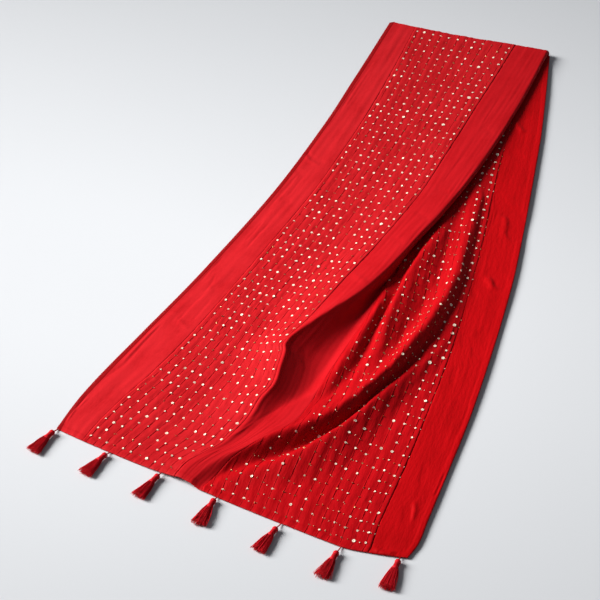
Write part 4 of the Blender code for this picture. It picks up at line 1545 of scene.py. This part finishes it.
@dataclass
class Beading:
    """What is sewn on a panel: sequins with their threads, running stitches and beads.

    Attributes:
        name: Start of the pieces' names.
        tucks: The rows of stitching.
        bright: Share of sequins that are bright.
        dull: Share that is dull or stands on edge, and is drawn in darker tones, partly as a
            painted shade.
        beads: Share of places halfway between two rows of stitching that have a small bead.
        bold: How many columns next to the far seam have bright sequins only.
        first: The first row of sequins over the hem, mm along.
        pitch: Distance between rows, mm.
        stitch_pitch: Distance between running stitches, mm.
        seed: Which draw.
    """

    name: str
    tucks: Tucks
    bright: float
    dull: float
    beads: float = 0.0
    bold: int = 0
    first: float = -517.0
    pitch: float = 17.5
    stitch_pitch: float = 5.8
    seed: int = 11

    def build(self, grid: ClothGrid, finishes: dict[str, bpy.types.Material]) -> None:
        """Builds and dresses what is sewn on.

        Args:
            grid: The panel that it is sewn on.
            finishes: Materials by name: sequin, knot, stitch. The knot thread is partly a painted
                shadow.
        """
        draw = np.random.default_rng(self.seed)
        seats = self._lattice(grid, draw)
        sewn = [
            ("sequins", "sequin", [self._sequins(draw, seats)]),
            ("knots", "knot", self._knots_and_shadows(draw, seats)),
            ("stitches", "stitch", [self._stitches(draw, grid)]),
        ]
        if self.beads:
            between = self._lattice(grid, draw, self.tucks.spacing / 2.0)
            sewn.append(("beads", "sequin", [self._beads(draw, between)]))
        for kind, finish, patches in sewn:
            made = joined(f"{self.name}_{kind}", patches, smooth=kind != "sequins")
            dressed(made, finishes[finish])

    def _lattice(
        self, grid: ClothGrid, draw: np.random.Generator, aside: float = 0.0
    ) -> Seats:
        """Places of the sequins, or of what is sewn a distance aside from them."""
        columns = self.tucks.places() + aside
        rows = np.arange(self.first, grid.along[0, 0] - 4.0, self.pitch)
        return sown(grid, draw, columns, rows, stray=(0.0, 0.45, 0.9), missing=0.03)

    def _sequins(self, draw: np.random.Generator, seats: Seats) -> Patch:
        """Makes the sequins."""
        count = len(seats.point)
        kind = draw.random(count)
        far = self.tucks.start + self.tucks.spacing * (self.tucks.count - self.bold)
        kind = np.where(seats.cloth[:, 0] > far, 1.0 - self.bright * kind, kind)
        dull = kind < self.dull
        radius = SEQUIN_RADIUS * draw.normal(0.95, 0.16, count).clip(0.66, 1.35)
        radius = np.where(dull, radius * DULL_SIZE, radius)
        radius = np.where(kind > LARGE_FROM, radius * LARGE_SIZE, radius)
        tilt = draw.normal(0.0, 1.0, (2, count)).clip(-1.6, 1.6)
        lean = np.tan(np.radians(np.where(dull, DULL_TILT, PLAIN_TILT) * tilt))[..., None]
        up, right = seats.up, seats.right
        leaning = unit(up + right * lean[0] + np.cross(up, right) * lean[1])
        # Dull sequins get darker tones: partly their own gold, partly a painted shade.
        tones = np.where(dull, draw.uniform(*DULL_SHADED_TONES, count), draw.uniform(*PLAIN_TONES, count))
        tones = np.where(kind > 1.0 - self.bright, draw.uniform(*BRIGHT_TONES, count), tones)
        lift = 0.35 + radius * np.linalg.norm(leaning - up, axis=1) * 0.55
        return ring_stamp(9, SEQUIN_RINGS).copies(
            seats.point + up * lift[:, None],
            frames_from(leaning, right, draw.uniform(0.0, FULL_TURN, count)),
            (radius, radius, 1.0), tones, seats.cloth,
        )

    def _knots_and_shadows(self, draw: np.random.Generator, seats: Seats) -> list[Patch]:
        """Makes the thread that holds each sequin: a bar over its edge and a knot beside it. Both
        lie dark on the sequin's right, so they are partly real thread and partly a painted shadow.
        """
        count = len(seats.point)
        turn = draw.normal(-0.12, 0.4, count)
        ahead = frames_from(seats.up, seats.right, turn)[:, 0]
        reach = draw.uniform(0.9, 1.5, count)
        bars = dash_stamp().copies(
            seats.point + ahead * (reach + 0.55)[:, None] + seats.up * 0.62,
            frames_from(seats.up, seats.right, turn + math.pi / 2.0),
            (0.3, reach, 0.3), draw.uniform(0.0, 0.35, count), seats.cloth,
        )
        some = draw.random(count) < 0.55
        away = draw.uniform(2.3, 3.3, count)[some, None]
        size = draw.uniform(0.45, 0.8, count)[some]
        spun = draw.uniform(0.0, HALF_TURN, count)[some]
        tones = draw.uniform(0.3, 1.0, count)[some]
        held = seats.some(some)
        knots = dash_stamp().copies(
            held.point + ahead[some] * away + held.up * 0.55,
            frames_from(held.up, held.right, spun),
            (size * 0.8, size, size * 0.8), tones, held.cloth,
        )
        return [bars, knots]

    def _stitches(self, draw: np.random.Generator, grid: ClothGrid) -> Patch:
        """Makes the running stitches down each tuck."""
        rows = np.arange(grid.along[-1, 0] + 4.0, grid.along[0, 0] - 2.0, self.stitch_pitch)
        seats = sown(grid, draw, self.tucks.places(), rows, stray=(0.35, 0.15, 0.4))
        count = len(seats.point)
        return dash_stamp().copies(
            seats.point - seats.up * 0.08,
            frames_from(seats.up, seats.right, draw.normal(0.0, 0.08, count)),
            (0.28, draw.uniform(1.4, 1.8, count), 0.26), draw.uniform(0.1, 0.8, count),
            seats.cloth,
        )

    def _beads(self, draw: np.random.Generator, seats: Seats) -> Patch:
        """Makes the small beads halfway between the rows of stitching."""
        held = seats.some(draw.random(len(seats.point)) < self.beads)
        count = len(held.point)
        radius = draw.normal(0.7, 0.1, count).clip(0.5, 0.9)
        return ring_stamp(8, BEAD_RINGS).copies(
            held.point + held.up * 0.45,
            frames_from(held.up, held.right, draw.uniform(0.0, HALF_TURN, count)),
            (radius, radius, radius), draw.uniform(0.1, 0.75, count), held.cloth,
        )


# What a row of stitching raises: distance to its right, half width and height, mm.
TUCK_RIDGES: Rows = ((-0.45, 0.6, 0.36), (0.9, 0.8, -0.14))


@dataclass
class SequinPanel(ClothStrip):
    """A pintucked panel with its sequins.

    Attributes:
        tucks: Its rows of stitching.
        puff: How far the cloth stands up between two rows, mm.
        wrinkle: Depth of its short wrinkles, mm.
        beading: What is sewn on it.
        tuck_steps: Columns beside each row of stitching, mm from it.
        wide_step: Distance of the other columns from each other and from a seam, mm.
    """

    tucks: Tucks = Tucks(0.0, 10.0, 12)
    puff: float = 0.55
    wrinkle: float = 0.22
    beading: Beading | None = None
    tuck_steps: tuple[float, ...] = (-1.9, -0.95, -0.35, 0.35, 0.95, 1.9)
    wide_step: float = 2.4

    def columns(self) -> Array:
        """Places across the cut, close together at each row of stitching."""
        start, end = self.strip.start, self.strip.end
        half = self.tucks.spacing / 2.0
        steps = (*self.tuck_steps, half - self.wide_step, half, half + self.wide_step)
        places = (self.tucks.places()[:, None] + np.array(steps)[None]).ravel()
        places = np.concatenate([[start, start + self.wide_step], places])
        places = np.unique(places[(places >= start) & (places < end - 0.4)])
        return np.concatenate([places, [end]])

    def relief(self, across: Array, along: Array) -> Array:
        """Height of the outer face over the middle, mm."""
        height = super().relief(across, along)
        offset = self.tucks.offset(across)
        full = 1.0 + 0.35 * soft_noise(across, along, (13.0, 17.5), self.seed + 2)
        arch = np.abs(np.sin(math.pi * offset / self.tucks.spacing)) ** 1.1
        height += self.puff * full * (arch - 0.4)
        sharp = np.clip(0.7 + 0.9 * soft_noise(across, along, (9.0, 8.0), self.seed + 3), 0.0, 1.7)
        height += self.wrinkle * soft_noise(across, along, (5.5, 8.0), self.seed + 4)
        for aside, width, raised in TUCK_RIDGES:
            height += raised * sharp * np.exp(-(((offset - aside) / width) ** 2))
        return height

    def build_sewn(self, loom: Loom, finishes: dict[str, bpy.types.Material]) -> None:
        """Builds the panel and what is sewn on it, with finishes by name."""
        self.beading.build(self.build(loom), finishes)


# ---------------------------------------------------------------------------------------
# The layers beneath, and the tassels


@dataclass
class LowerLayers:
    """The lower half of the stole and the hidden turns of the pleat, as one rounded stack.

    Attributes:
        finish: The silk.
        base: Height of the two flat layers, mm.
        row_step: Distance between rows, mm.
        rounding: How far the ends are rounded, mm.
        edge_angles: Steps round each layer's edge, degrees.
        edge_depth: How far that edge is rounded in, mm.
        upper_inset: How far the upper layer's edge lies inside the lower one's, mm.
        rise_length: How long the pleat's stack takes to rise, mm.
        outer_turn: Points round the stack's outer end: mm before it, and share of its height.
    """

    finish: SilkFinish
    base: float = 2.6
    row_step: float = 12.0
    rounding: float = 1.6
    edge_angles: tuple[float, ...] = (-65.0, -25.0, 25.0, 65.0)
    edge_depth: float = 0.75
    upper_inset: float = 0.25
    rise_length: float = 60.0
    outer_turn: Rows = ((3.0, 1.0), (1.6, 0.95), (0.6, 0.7), (0.0, 0.0))

    def build(self, form: ClothForm) -> None:
        """Builds and dresses the stack.

        Args:
            form: Gives the rows' tilt.
        """
        knots = np.array(HIDDEN_SECTIONS, float)[::-1]
        table = Curve(knots[:, 0], knots[:, 1:])
        low, high = knots[0, 0], knots[-1, 0]
        rows = np.linspace(low, high, int((high - low) / self.row_step))
        outlines = [self._outline(row, *table.at(row)[0]) for row in rows]
        near_end, past_end = 0.92, 0.6
        heights = [near_end, *[1.0] * (len(rows) - 2), near_end]
        chains = [
            self._chain(outline, row, height, form)
            for outline, row, height in zip(outlines, rows, heights)
        ]
        chains.insert(0, self._chain(outlines[0], low - self.rounding, past_end, form))
        chains.append(self._chain(outlines[-1], high + self.rounding, past_end, form))
        points = np.concatenate(chains)
        faces = stacked(len(chains), len(chains[0]))
        patch = Patch(points, faces, points[:, :2].copy(), np.full(len(points), 0.5))
        made = dressed(joined("under_layers_silk", [patch]), self.finish.material())
        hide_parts("under_layers")

    def _chain(self, outline: Array, row: float, share: float, form: ClothForm) -> Array:
        """One row's points, lowered to a share of its height."""
        across = outline[:, 0]
        along = row + form.tilt_at(row) * across
        return np.stack([across, along, outline[:, 1] * share], axis=1)

    def _outline(
        self, row: float, left: float, right: float, inner: float, outer: float, stack: float
    ) -> Array:
        """One section, with each layer's edge rounded and the pleat's turns raised.

        Args:
            row: The row, mm along.
            left: The stack's left side, mm across.
            right: Its right side.
            inner: The pleat's inner fold.
            outer: The pleat's outer end.
            stack: Height of the pleat's stack, mm.

        Returns:
            N x 2 points, across and up, mm.
        """
        wave = abs(0.35 * math.sin(row / 23.0) + 0.25 * math.sin(row / 9.0 + 1.0))
        layer = self.base / 2.0
        side = []
        for bottom, inset in ((0.0, 0.0), (layer, self.upper_inset)):
            for angle in self.edge_angles:
                turn = math.radians(angle)
                inside = inset + self.edge_depth * (1.0 - math.cos(turn))
                height = layer / 2.0 * (1.0 + math.sin(turn) / 0.91)
                side.append((inside + wave, bottom + height))
        side[0] = (side[0][0], 0.0)
        rise = stack - self.base
        shares = (0.0, 0.2, 0.4, 0.6, 0.8, 1.0)
        top = [(inner + self.rise_length * share, float(smooth_step(share))) for share in shares]
        top += [(outer - before, share) for before, share in self.outer_turn]
        points = [(left + inside, height) for inside, height in side]
        points += [(across, self.base + rise * share) for across, share in top]
        points += [(right - inside, height) for inside, height in reversed(side)]
        return np.array(points)


# Down a tassel's head and neck from the head's middle: distance and radius, mm.
HEAD_PROFILE: Rows = (
    (-3.7, 1.1), (-3.1, 2.5), (-1.8, 3.6), (0.0, 4.1), (1.6, 3.9), (2.7, 3.4),
    (3.6, 3.1), (5.5, 3.0), (7.7, 3.1), (9.4, 3.6), (11.5, 4.3), (14.0, 3.6),
)
# Turn from one thread to the next that spreads them evenly over a round end, radians.
GOLDEN_TURN = 2.39996


@dataclass
class Tassel:
    """One tassel: a twisted cord, a small head, a wrapped neck and a fan of threads.

    Attributes:
        number: Which one, from the left.
        across: Where it is sewn to the hem, mm.
        heading: Degrees from straight down the stole.
        cord: Length of its cord, mm.
        length: Whole length, mm.
        seat: How far from the hem's edge it starts, mm.
        axis_height: Height of its lying middle, mm.
        cord_radius: Radius of the cord, mm.
        head_radius: Radius of the head, mm.
        neck_radius: Radius of the wrapped neck, mm.
        skirt_width: Width of the skirt's end, mm.
        skirt_height: Height of the skirt's end, mm.
        threads: How many threads the skirt has.
    """

    number: int
    across: float
    heading: float
    cord: float
    length: float
    seat: float = 0.3
    axis_height: float = 4.6
    cord_radius: float = 0.95
    head_radius: float = 4.1
    neck_radius: float = 3.3
    skirt_width: float = 22.0
    skirt_height: float = 7.2
    threads: int = 170

    def build(self, form: ClothForm, finish: bpy.types.Material) -> None:
        """Builds and dresses the tassel.

        Args:
            form: Gives the hem.
            finish: The thread.
        """
        draw = np.random.default_rng(TASSEL_SEED + self.number)
        patches = [*self._cord(), self._head(), self._wrapping()]
        patches += [self._thread(draw, i) for i in range(self.threads)]
        seat = self._hem_point(form)
        placed = [self._placed(patch, seat) for patch in patches]
        made = dressed(joined(f"tassel_{self.number}_threads", placed), finish)
        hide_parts(f"tassel_{self.number}")

    def _hem_point(self, form: ClothForm) -> Array:
        """The middle of the hem's edge where the tassel is sewn on."""
        end = Strip.BORDER_RIGHT.end
        edge = form.section(form.hem_end, False).at(np.linspace(0.0, end, int(2.0 * end) + 1))
        return edge[np.argmin(np.abs(edge[:, 0] - self.across))]

    def _placed(self, patch: Patch, seat: Array) -> Patch:
        """Carries a patch from the tassel's own axis to its seat on the hem."""
        turn = math.radians(self.heading)
        x, y, z = patch.points.T
        risen = smooth_step(-y / (self.cord + self.head_radius))
        points = np.stack(
            [
                seat[0] + x * math.cos(turn) - y * math.sin(turn),
                seat[1] - self.seat + x * math.sin(turn) + y * math.cos(turn),
                seat[2] + (self.axis_height - seat[2]) * risen + z,
            ],
            axis=1,
        )
        return Patch(points, patch.faces, patch.cloth, patch.tone)

    def _coil(self, reach: float, down: Array, angle: Array) -> Array:
        """Points of a thread wound round the tassel's axis."""
        return np.stack([reach * np.cos(angle), -down, reach * np.sin(angle)], axis=1)

    def _cord(self) -> list[Patch]:
        """Two twisted plies from the hem to the head."""
        before, after, twist = 0.4, 0.6, 3.4
        down = np.linspace(-before, self.cord + after, 26)
        reach, radius = self.cord_radius * 0.5, self.cord_radius * 0.55
        plies = []
        for start in (0.0, math.pi):
            path = self._coil(reach, down, start + down * 2.0 * math.pi / twist)
            plies.append(tube(path, np.full(len(down), radius), 6, (start, 0.0), tone=0.35))
        return plies

    def _head(self) -> Patch:
        """The head and neck as one turned form."""
        profile = np.array(HEAD_PROFILE)
        down = self.cord + self.head_radius + profile[:, 0]
        path = np.stack([np.zeros(len(down)), -down, np.zeros(len(down))], axis=1)
        return tube(path, profile[:, 1], 20, (0.0, 0.0), tone=0.5)

    def _wrapping(self) -> Patch:
        """The thread wound round the neck."""
        start, turns, pitch = self.cord + self.head_radius + 3.3, 6.5, 0.72
        angle = np.linspace(0.0, 2.0 * math.pi * turns, 110)
        down = start + angle / (2.0 * math.pi) * pitch
        path = self._coil(self.neck_radius + 0.05, down, angle)
        return tube(path, np.full(len(angle), 0.42), 5, (5.0, 0.0), tone=0.25)

    def _thread(self, draw: np.random.Generator, number: int) -> Patch:
        """One thread of the fan, from under the wrapping to the skirt's end."""
        spread = math.sqrt((number + 0.5) / self.threads)
        x, z = (part(number * GOLDEN_TURN) * spread for part in (math.cos, math.sin))
        root = self.cord + self.head_radius + 7.2
        end = self.length + draw.normal(0.0, 1.2)
        share = np.linspace(0.0, 1.0, 7)
        arch = np.sin(share * math.pi)
        width = self.neck_radius - 0.2
        wide = width + (self.skirt_width / 2.0 - width) * share**0.85
        high = width + (self.skirt_height / 2.0 - width) * share
        drop = (self.axis_height - self.skirt_height / 2.0 - 0.5) * share**1.5
        across = x * wide + draw.normal(0.0, 0.8) * arch
        across += draw.normal(0.0, 0.9) * share**3
        up = z * high - drop + draw.normal(0.0, 0.25) * arch
        up = np.maximum(up, 0.55 - self.axis_height)
        path = np.stack([across, -(root + (end - root) * share), up], axis=1)
        radii = np.full(len(share), 0.36)
        radii[-1] = 0.26
        return tube(path, radii, 3, (number * 0.7, 0.0), float(draw.uniform(0.1, 0.9)))


# ---------------------------------------------------------------------------------------
# The studio


@dataclass
class Studio:
    """The pale floor, the soft light and the camera.

    Attributes:
        target: What the camera looks at, mm in the tables' coordinates.
        azimuth: Where it stands, in degrees.
        elevation: How high it stands, in degrees.
        distance: How far it stands, metres.
        lens: Its lens, mm.
        key_power: Power of the key light, watts.
        key_radius: Its radius, metres.
        key_place: Where it hangs, metres.
        key_aim: The place on the floor that it is aimed at, metres.
        key_cone: Width of its cone, radians.
        key_blend: Share of the cone that is soft.
        ambient: Strength of the surround.
    """

    target: tuple[float, float] = (-80.0, -135.0)
    azimuth: float = 27.0
    elevation: float = 40.0
    distance: float = 3.2143
    lens: float = 135.0
    key_power: float = 2600.0
    key_radius: float = 1.5
    key_place: tuple[float, float, float] = (-3.83, -1.13, 2.48)
    key_aim: tuple[float, float] = (-0.24, -0.2)
    key_cone: float = 0.63
    key_blend: float = 0.22
    ambient: float = 0.14

    def build(self) -> None:
        """Builds the floor, lights and camera."""
        self._floor()
        self._key()
        self._surround()
        self._camera()
        settings = bpy.context.scene.view_settings
        settings.view_transform = "Standard"
        settings.look = "None"

    def _floor(self) -> None:
        """A large flat floor just under the stole."""
        mesh = bpy.data.meshes.new("floor")
        side, under = 8.0, 0.0004
        corners = [(-side, -side, 0.0), (side, -side, 0.0), (side, side, 0.0), (-side, side, 0.0)]
        mesh.from_pydata(corners, [], [(0, 1, 2, 3)])
        mesh.materials.append(FloorFinish().material())
        floor = bpy.data.objects.new("floor", mesh)
        floor.location.z = -under
        bpy.context.scene.collection.objects.link(floor)

    def _pointed(self, name: str, data: bpy.types.ID, place: Vector, back: Vector) -> None:
        """Adds a light or camera that looks against a direction.

        Args:
            name: Its name.
            data: The light or camera.
            place: Where it is, metres.
            back: The direction behind it.
        """
        made = bpy.data.objects.new(name, data)
        made.location = place
        made.rotation_mode = "QUATERNION"
        made.rotation_quaternion = back.to_track_quat("Z", "Y")
        bpy.context.scene.collection.objects.link(made)

    def _key(self) -> None:
        """A soft key light from the camera's left."""
        light = bpy.data.lights.new("key", "SPOT")
        light.shadow_soft_size = self.key_radius
        light.spot_size = self.key_cone
        light.spot_blend = self.key_blend
        light.energy = self.key_power
        light.color = (1.0, 0.985, 0.97)
        place = Vector(self.key_place)
        self._pointed("key", light, place, place - Vector((*self.key_aim, 0.0)))

    def _surround(self) -> None:
        """A weak cool surround."""
        world = bpy.data.worlds.new("surround")
        world.use_nodes = True
        surround = world.node_tree.nodes["Background"]
        surround.inputs["Color"].default_value = opaque((0.86, 0.92, 1.0))
        surround.inputs["Strength"].default_value = self.ambient
        bpy.context.scene.world = world

    def _camera(self) -> None:
        """The camera."""
        turn, rise = math.radians(self.azimuth), math.radians(self.elevation)
        back = Vector(
            (math.sin(turn) * math.cos(rise), -math.cos(turn) * math.cos(rise), math.sin(rise))
        )
        data = bpy.data.cameras.new("camera")
        data.lens = self.lens
        data.sensor_width = 36.0
        data.clip_start, data.clip_end = 0.1, 60.0
        middle = [(place - centre) * MM for place, centre in zip(self.target, MIDDLE)]
        self._pointed("camera", data, Vector((*middle, 0.0)) + back * self.distance, back)
        bpy.context.scene.camera = bpy.data.objects["camera"]


# ---------------------------------------------------------------------------------------
# The stole


LEFT_TUCKS = Tucks(Strip.PANEL_LEFT.start, 160.0 / 12.0, 12)
RIGHT_TUCKS = Tucks(Strip.PANEL_RIGHT.start, 16.0, 15)
TASSEL_SEED = 100
# Tassels from the left: place across, heading, length of the cord, whole length.
TASSELS = (
    (-246.0, -6.0, 7.0, 52.0), (-161.0, -9.0, 6.0, 51.0), (-80.0, -6.0, 5.5, 51.5),
    (5.0, 3.0, 5.5, 53.5), (101.0, -3.0, 10.5, 56.5), (187.0, 2.0, 11.0, 58.0),
    (262.0, 7.0, 6.5, 57.5),
)
# Listed creases: places across and along the cut, half width, height, mm.
LEFT_BORDER_CREASES: Creases = (
    (((15, -264), (15, -298), (15, -324), (16, -349), (17, -372), (13, -391), (9, -414),
      (9, -433)), 1.1, -1.6),
    (((13, -270), (12, -303), (12, -327), (12, -357), (12, -377)), 1.6, 1.0),
    (((29, -181), (27, -208), (28, -247), (28, -265)), 1.0, -1.2),
    (((42, -191), (43, -226), (43, -249)), 0.9, -1.0),
    (((21, -137), (26, -161), (27, -184)), 1.0, -0.9),
    (((5, -447), (8, -471), (10, -492)), 1.2, -1.2),
    (((12, -518), (9, -490), (12, -453)), 1.4, 1.0),
    (((14, 475), (12, 421), (11, 370), (11, 313)), 1.1, -1.2),
    (((19, 442), (18, 379), (17, 325)), 0.9, -0.9),
    (((2, 198), (14, 186), (27, 181), (43, 180)), 1.7, -1.9),
    (((3, 184), (20, 173), (40, 167)), 2.2, 1.2),
    (((8, 145), (19, 138), (30, 134)), 3.5, -1.3),
    (((16, 137), (14, 107), (13, 78), (13, 33)), 1.0, -1.2),
    (((17, 117), (15, 85), (14, 59)), 0.9, -1.0),
    (((25, 135), (25, 104), (25, 75)), 1.0, -1.0),
    (((17, 71), (27, 68), (37, 61)), 3.2, -1.2),
    (((32, 6), (30, -23), (30, -50), (30, -71)), 1.0, -1.0),
    (((21, 4), (22, -24), (21, -51)), 0.9, -0.9),
    (((11, -95), (11, -116), (10, -135), (11, -169)), 1.1, -1.2),
    (((28, -165), (40, -169), (54, -172)), 3.6, -1.3),
    (((24, -250), (36, -259), (49, -266)), 3.0, 0.9),
    (((29, -424), (43, -423), (56, -423)), 3.4, -1.0),
)
BAND_CREASES: Creases = (
    (((227, 111), (242, 102), (262, 92)), 3.8, -0.8),
    (((233, 179), (248, 170), (266, 163)), 4.2, -0.7),
    (((239, 354), (253, 348), (268, 339)), 3.6, -0.7),
    (((226, 36), (239, 28), (256, 19)), 3.2, -0.7),
    (((217, -67), (236, -80), (254, -91)), 4.5, 0.8),
    (((240, 445), (240, 399), (240, 358)), 1.3, -0.6),
    (((241, 268), (239, 224), (238, 186)), 1.2, -0.5),
    (((232, -254), (241, -259), (246, -271)), 5.0, 0.6),
    (((242, -241), (252, -251), (257, -271)), 3.0, -0.5),
    (((230, -377), (219, -407), (209, -431)), 1.4, -0.9),
    (((231, -398), (224, -425), (215, -448)), 1.6, 0.8),
    (((254, -345), (240, -378), (228, -408)), 1.4, -0.8),
    (((236, -463), (244, -485), (244, -504)), 1.5, -0.8),
)
RIGHT_BORDER_CREASES: Creases = (
    (((570, 191), (574, 170), (578, 149), (575, 115)), 9.8, -5.1),
    (((562, 173), (566, 146), (566, 113)), 6.0, 2.2),
    (((540, 219), (548, 196), (559, 184), (569, 169)), 6.8, -3.0),
    (((555, 41), (562, 36), (573, 25), (573, 5)), 6.2, -3.4),
    (((555, 23), (563, 13), (569, -1)), 5.3, 1.9),
    (((527, -9), (544, -17), (549, -28)), 3.4, -1.9),
    (((553, -103), (553, -111), (555, -132)), 6.6, -3.0),
    (((571, -90), (569, -108), (568, -121), (570, -146)), 4.8, -2.6),
    (((547, -170), (546, -189), (548, -210)), 3.0, -1.5),
    (((551, 180), (548, 156), (543, 123)), 1.3, -1.1),
    (((544, 166), (541, 137), (539, 108)), 1.1, -1.0),
    (((534, 437), (545, 425), (556, 410)), 6.9, -2.3),
    (((534, 400), (545, 388), (557, 376)), 5.3, 1.8),
    (((541, 328), (552, 319), (566, 310)), 6.0, -1.9),
    (((569, -232), (569, -248), (568, -272)), 5.1, -1.9),
    (((558, -296), (561, -314), (563, -336)), 5.7, -2.2),
    (((553, -358), (558, -376), (559, -398)), 3.4, -1.5),
    (((554, -438), (560, -454), (563, -472)), 4.8, -2.2),
    (((560, -427), (567, -445), (569, -465)), 3.4, 1.3),
    (((582, -231), (582, -267), (582, -298)), 1.5, -1.3),
    (((586, -363), (586, -396), (585, -421)), 1.4, -1.1),
    (((532, -523), (551, -527), (569, -526)), 3.0, 1.9),
)


@dataclass
class Stole:
    """The whole stole.

    Attributes:
        form: The lie of its cloth.
    """

    form: ClothForm = field(default_factory=ClothForm)

    def build(self) -> None:
        """Builds every piece in order."""
        loom = Loom(self.form)
        finishes = {
            "sequin": SequinFinish(),
            # The knots' dark brown thread also stands for the sequins' shadows: partly a painted
            # shadow.
            "knot": ThreadFinish("knot_and_shadow_thread", (0.10, 0.030, 0.012), (0.75, 0.42, 0.26)),
            "stitch": ThreadFinish("stitch_thread", (0.36, 0.002, 0.004), (0.60, 0.007, 0.012)),
        }
        finishes = {name: finish.material() for name, finish in finishes.items()}
        # The strips share one silk, but its base colour steps from a lighter, pinker red on the
        # left border to a darker, purer red on the right border: a painted highlight and sheen on
        # the side toward the key light, and painted shade away from it.
        ClothStrip(
            "border_left", Strip.BORDER_LEFT, "border",
            SilkFinish(
                "silk_border_left", light=(0.54, 0.013, 0.018), deep=(0.36, 0.002, 0.004),
                # The left border's outer strip is drawn darker: a painted shade.
                crinkle=0.35, streak=0.08, edge=(-1.0, 8.2),
            ),
            creases=LEFT_BORDER_CREASES, ripple=0.3, seed=3,
        ).build(loom)
        SequinPanel(
            "panel_left", Strip.PANEL_LEFT, "panel",
            SilkFinish(
                "silk_panel_left", light=(0.47, 0.009, 0.013), deep=(0.32, 0.002, 0.004),
                tucks=LEFT_TUCKS, crinkle=0.6, pucker=0.8, streak=0.34,
            ),
            seed=21, tucks=LEFT_TUCKS,
            beading=Beading("panel_left", LEFT_TUCKS, bright=0.62, dull=0.22),
        ).build_sewn(loom, finishes)
        ClothStrip(
            "band_centre", Strip.BAND_CENTRE, "band",
            SilkFinish(
                "silk_band", light=(0.45, 0.006, 0.01), deep=(0.34, 0.001, 0.003),
                crinkle=0.32, streak=0.06,
            ),
            creases=BAND_CREASES, ripple=0.3, column_step=1.2, seed=41,
        ).build(loom)
        SequinPanel(
            "panel_right", Strip.PANEL_RIGHT, "panel",
            SilkFinish(
                "silk_panel_right", light=(0.43, 0.002, 0.005), deep=(0.29, 0.0005, 0.002),
                tucks=RIGHT_TUCKS, crinkle=0.6, pucker=0.8, streak=0.34,
            ),
            seed=61, tucks=RIGHT_TUCKS,
            # Most of the right panel's sequins are drawn dull and darker, partly as a painted
            # shade.
            beading=Beading(
                "panel_right", RIGHT_TUCKS, bright=0.22, dull=0.6, beads=0.5, bold=2, seed=12
            ),
        ).build_sewn(loom, finishes)
        ClothStrip(
            "border_right", Strip.BORDER_RIGHT, "border",
            SilkFinish(
                "silk_border_right", light=(0.43, 0.001, 0.003), deep=(0.31, 0.0005, 0.001),
                crinkle=0.5, pucker=1.2, streak=0.1,
            ),
            creases=RIGHT_BORDER_CREASES, ripple=0.25, seed=81,
        ).build(loom)
        LowerLayers(SilkFinish("silk_under", crinkle=0.3)).build(self.form)
        thread = ThreadFinish("tassel_thread", (0.38, 0.001, 0.005), (0.72, 0.004, 0.014))
        spun = thread.material()
        for number, sizes in enumerate(TASSELS, start=1):
            Tassel(number, *sizes).build(self.form, spun)


def main() -> None:
    """Builds the stole and the studio."""
    logging.basicConfig(level=logging.INFO, format="%(name)s: %(message)s")
    Stole().build()
    Studio().build()


if __name__ == "__main__":
    main()
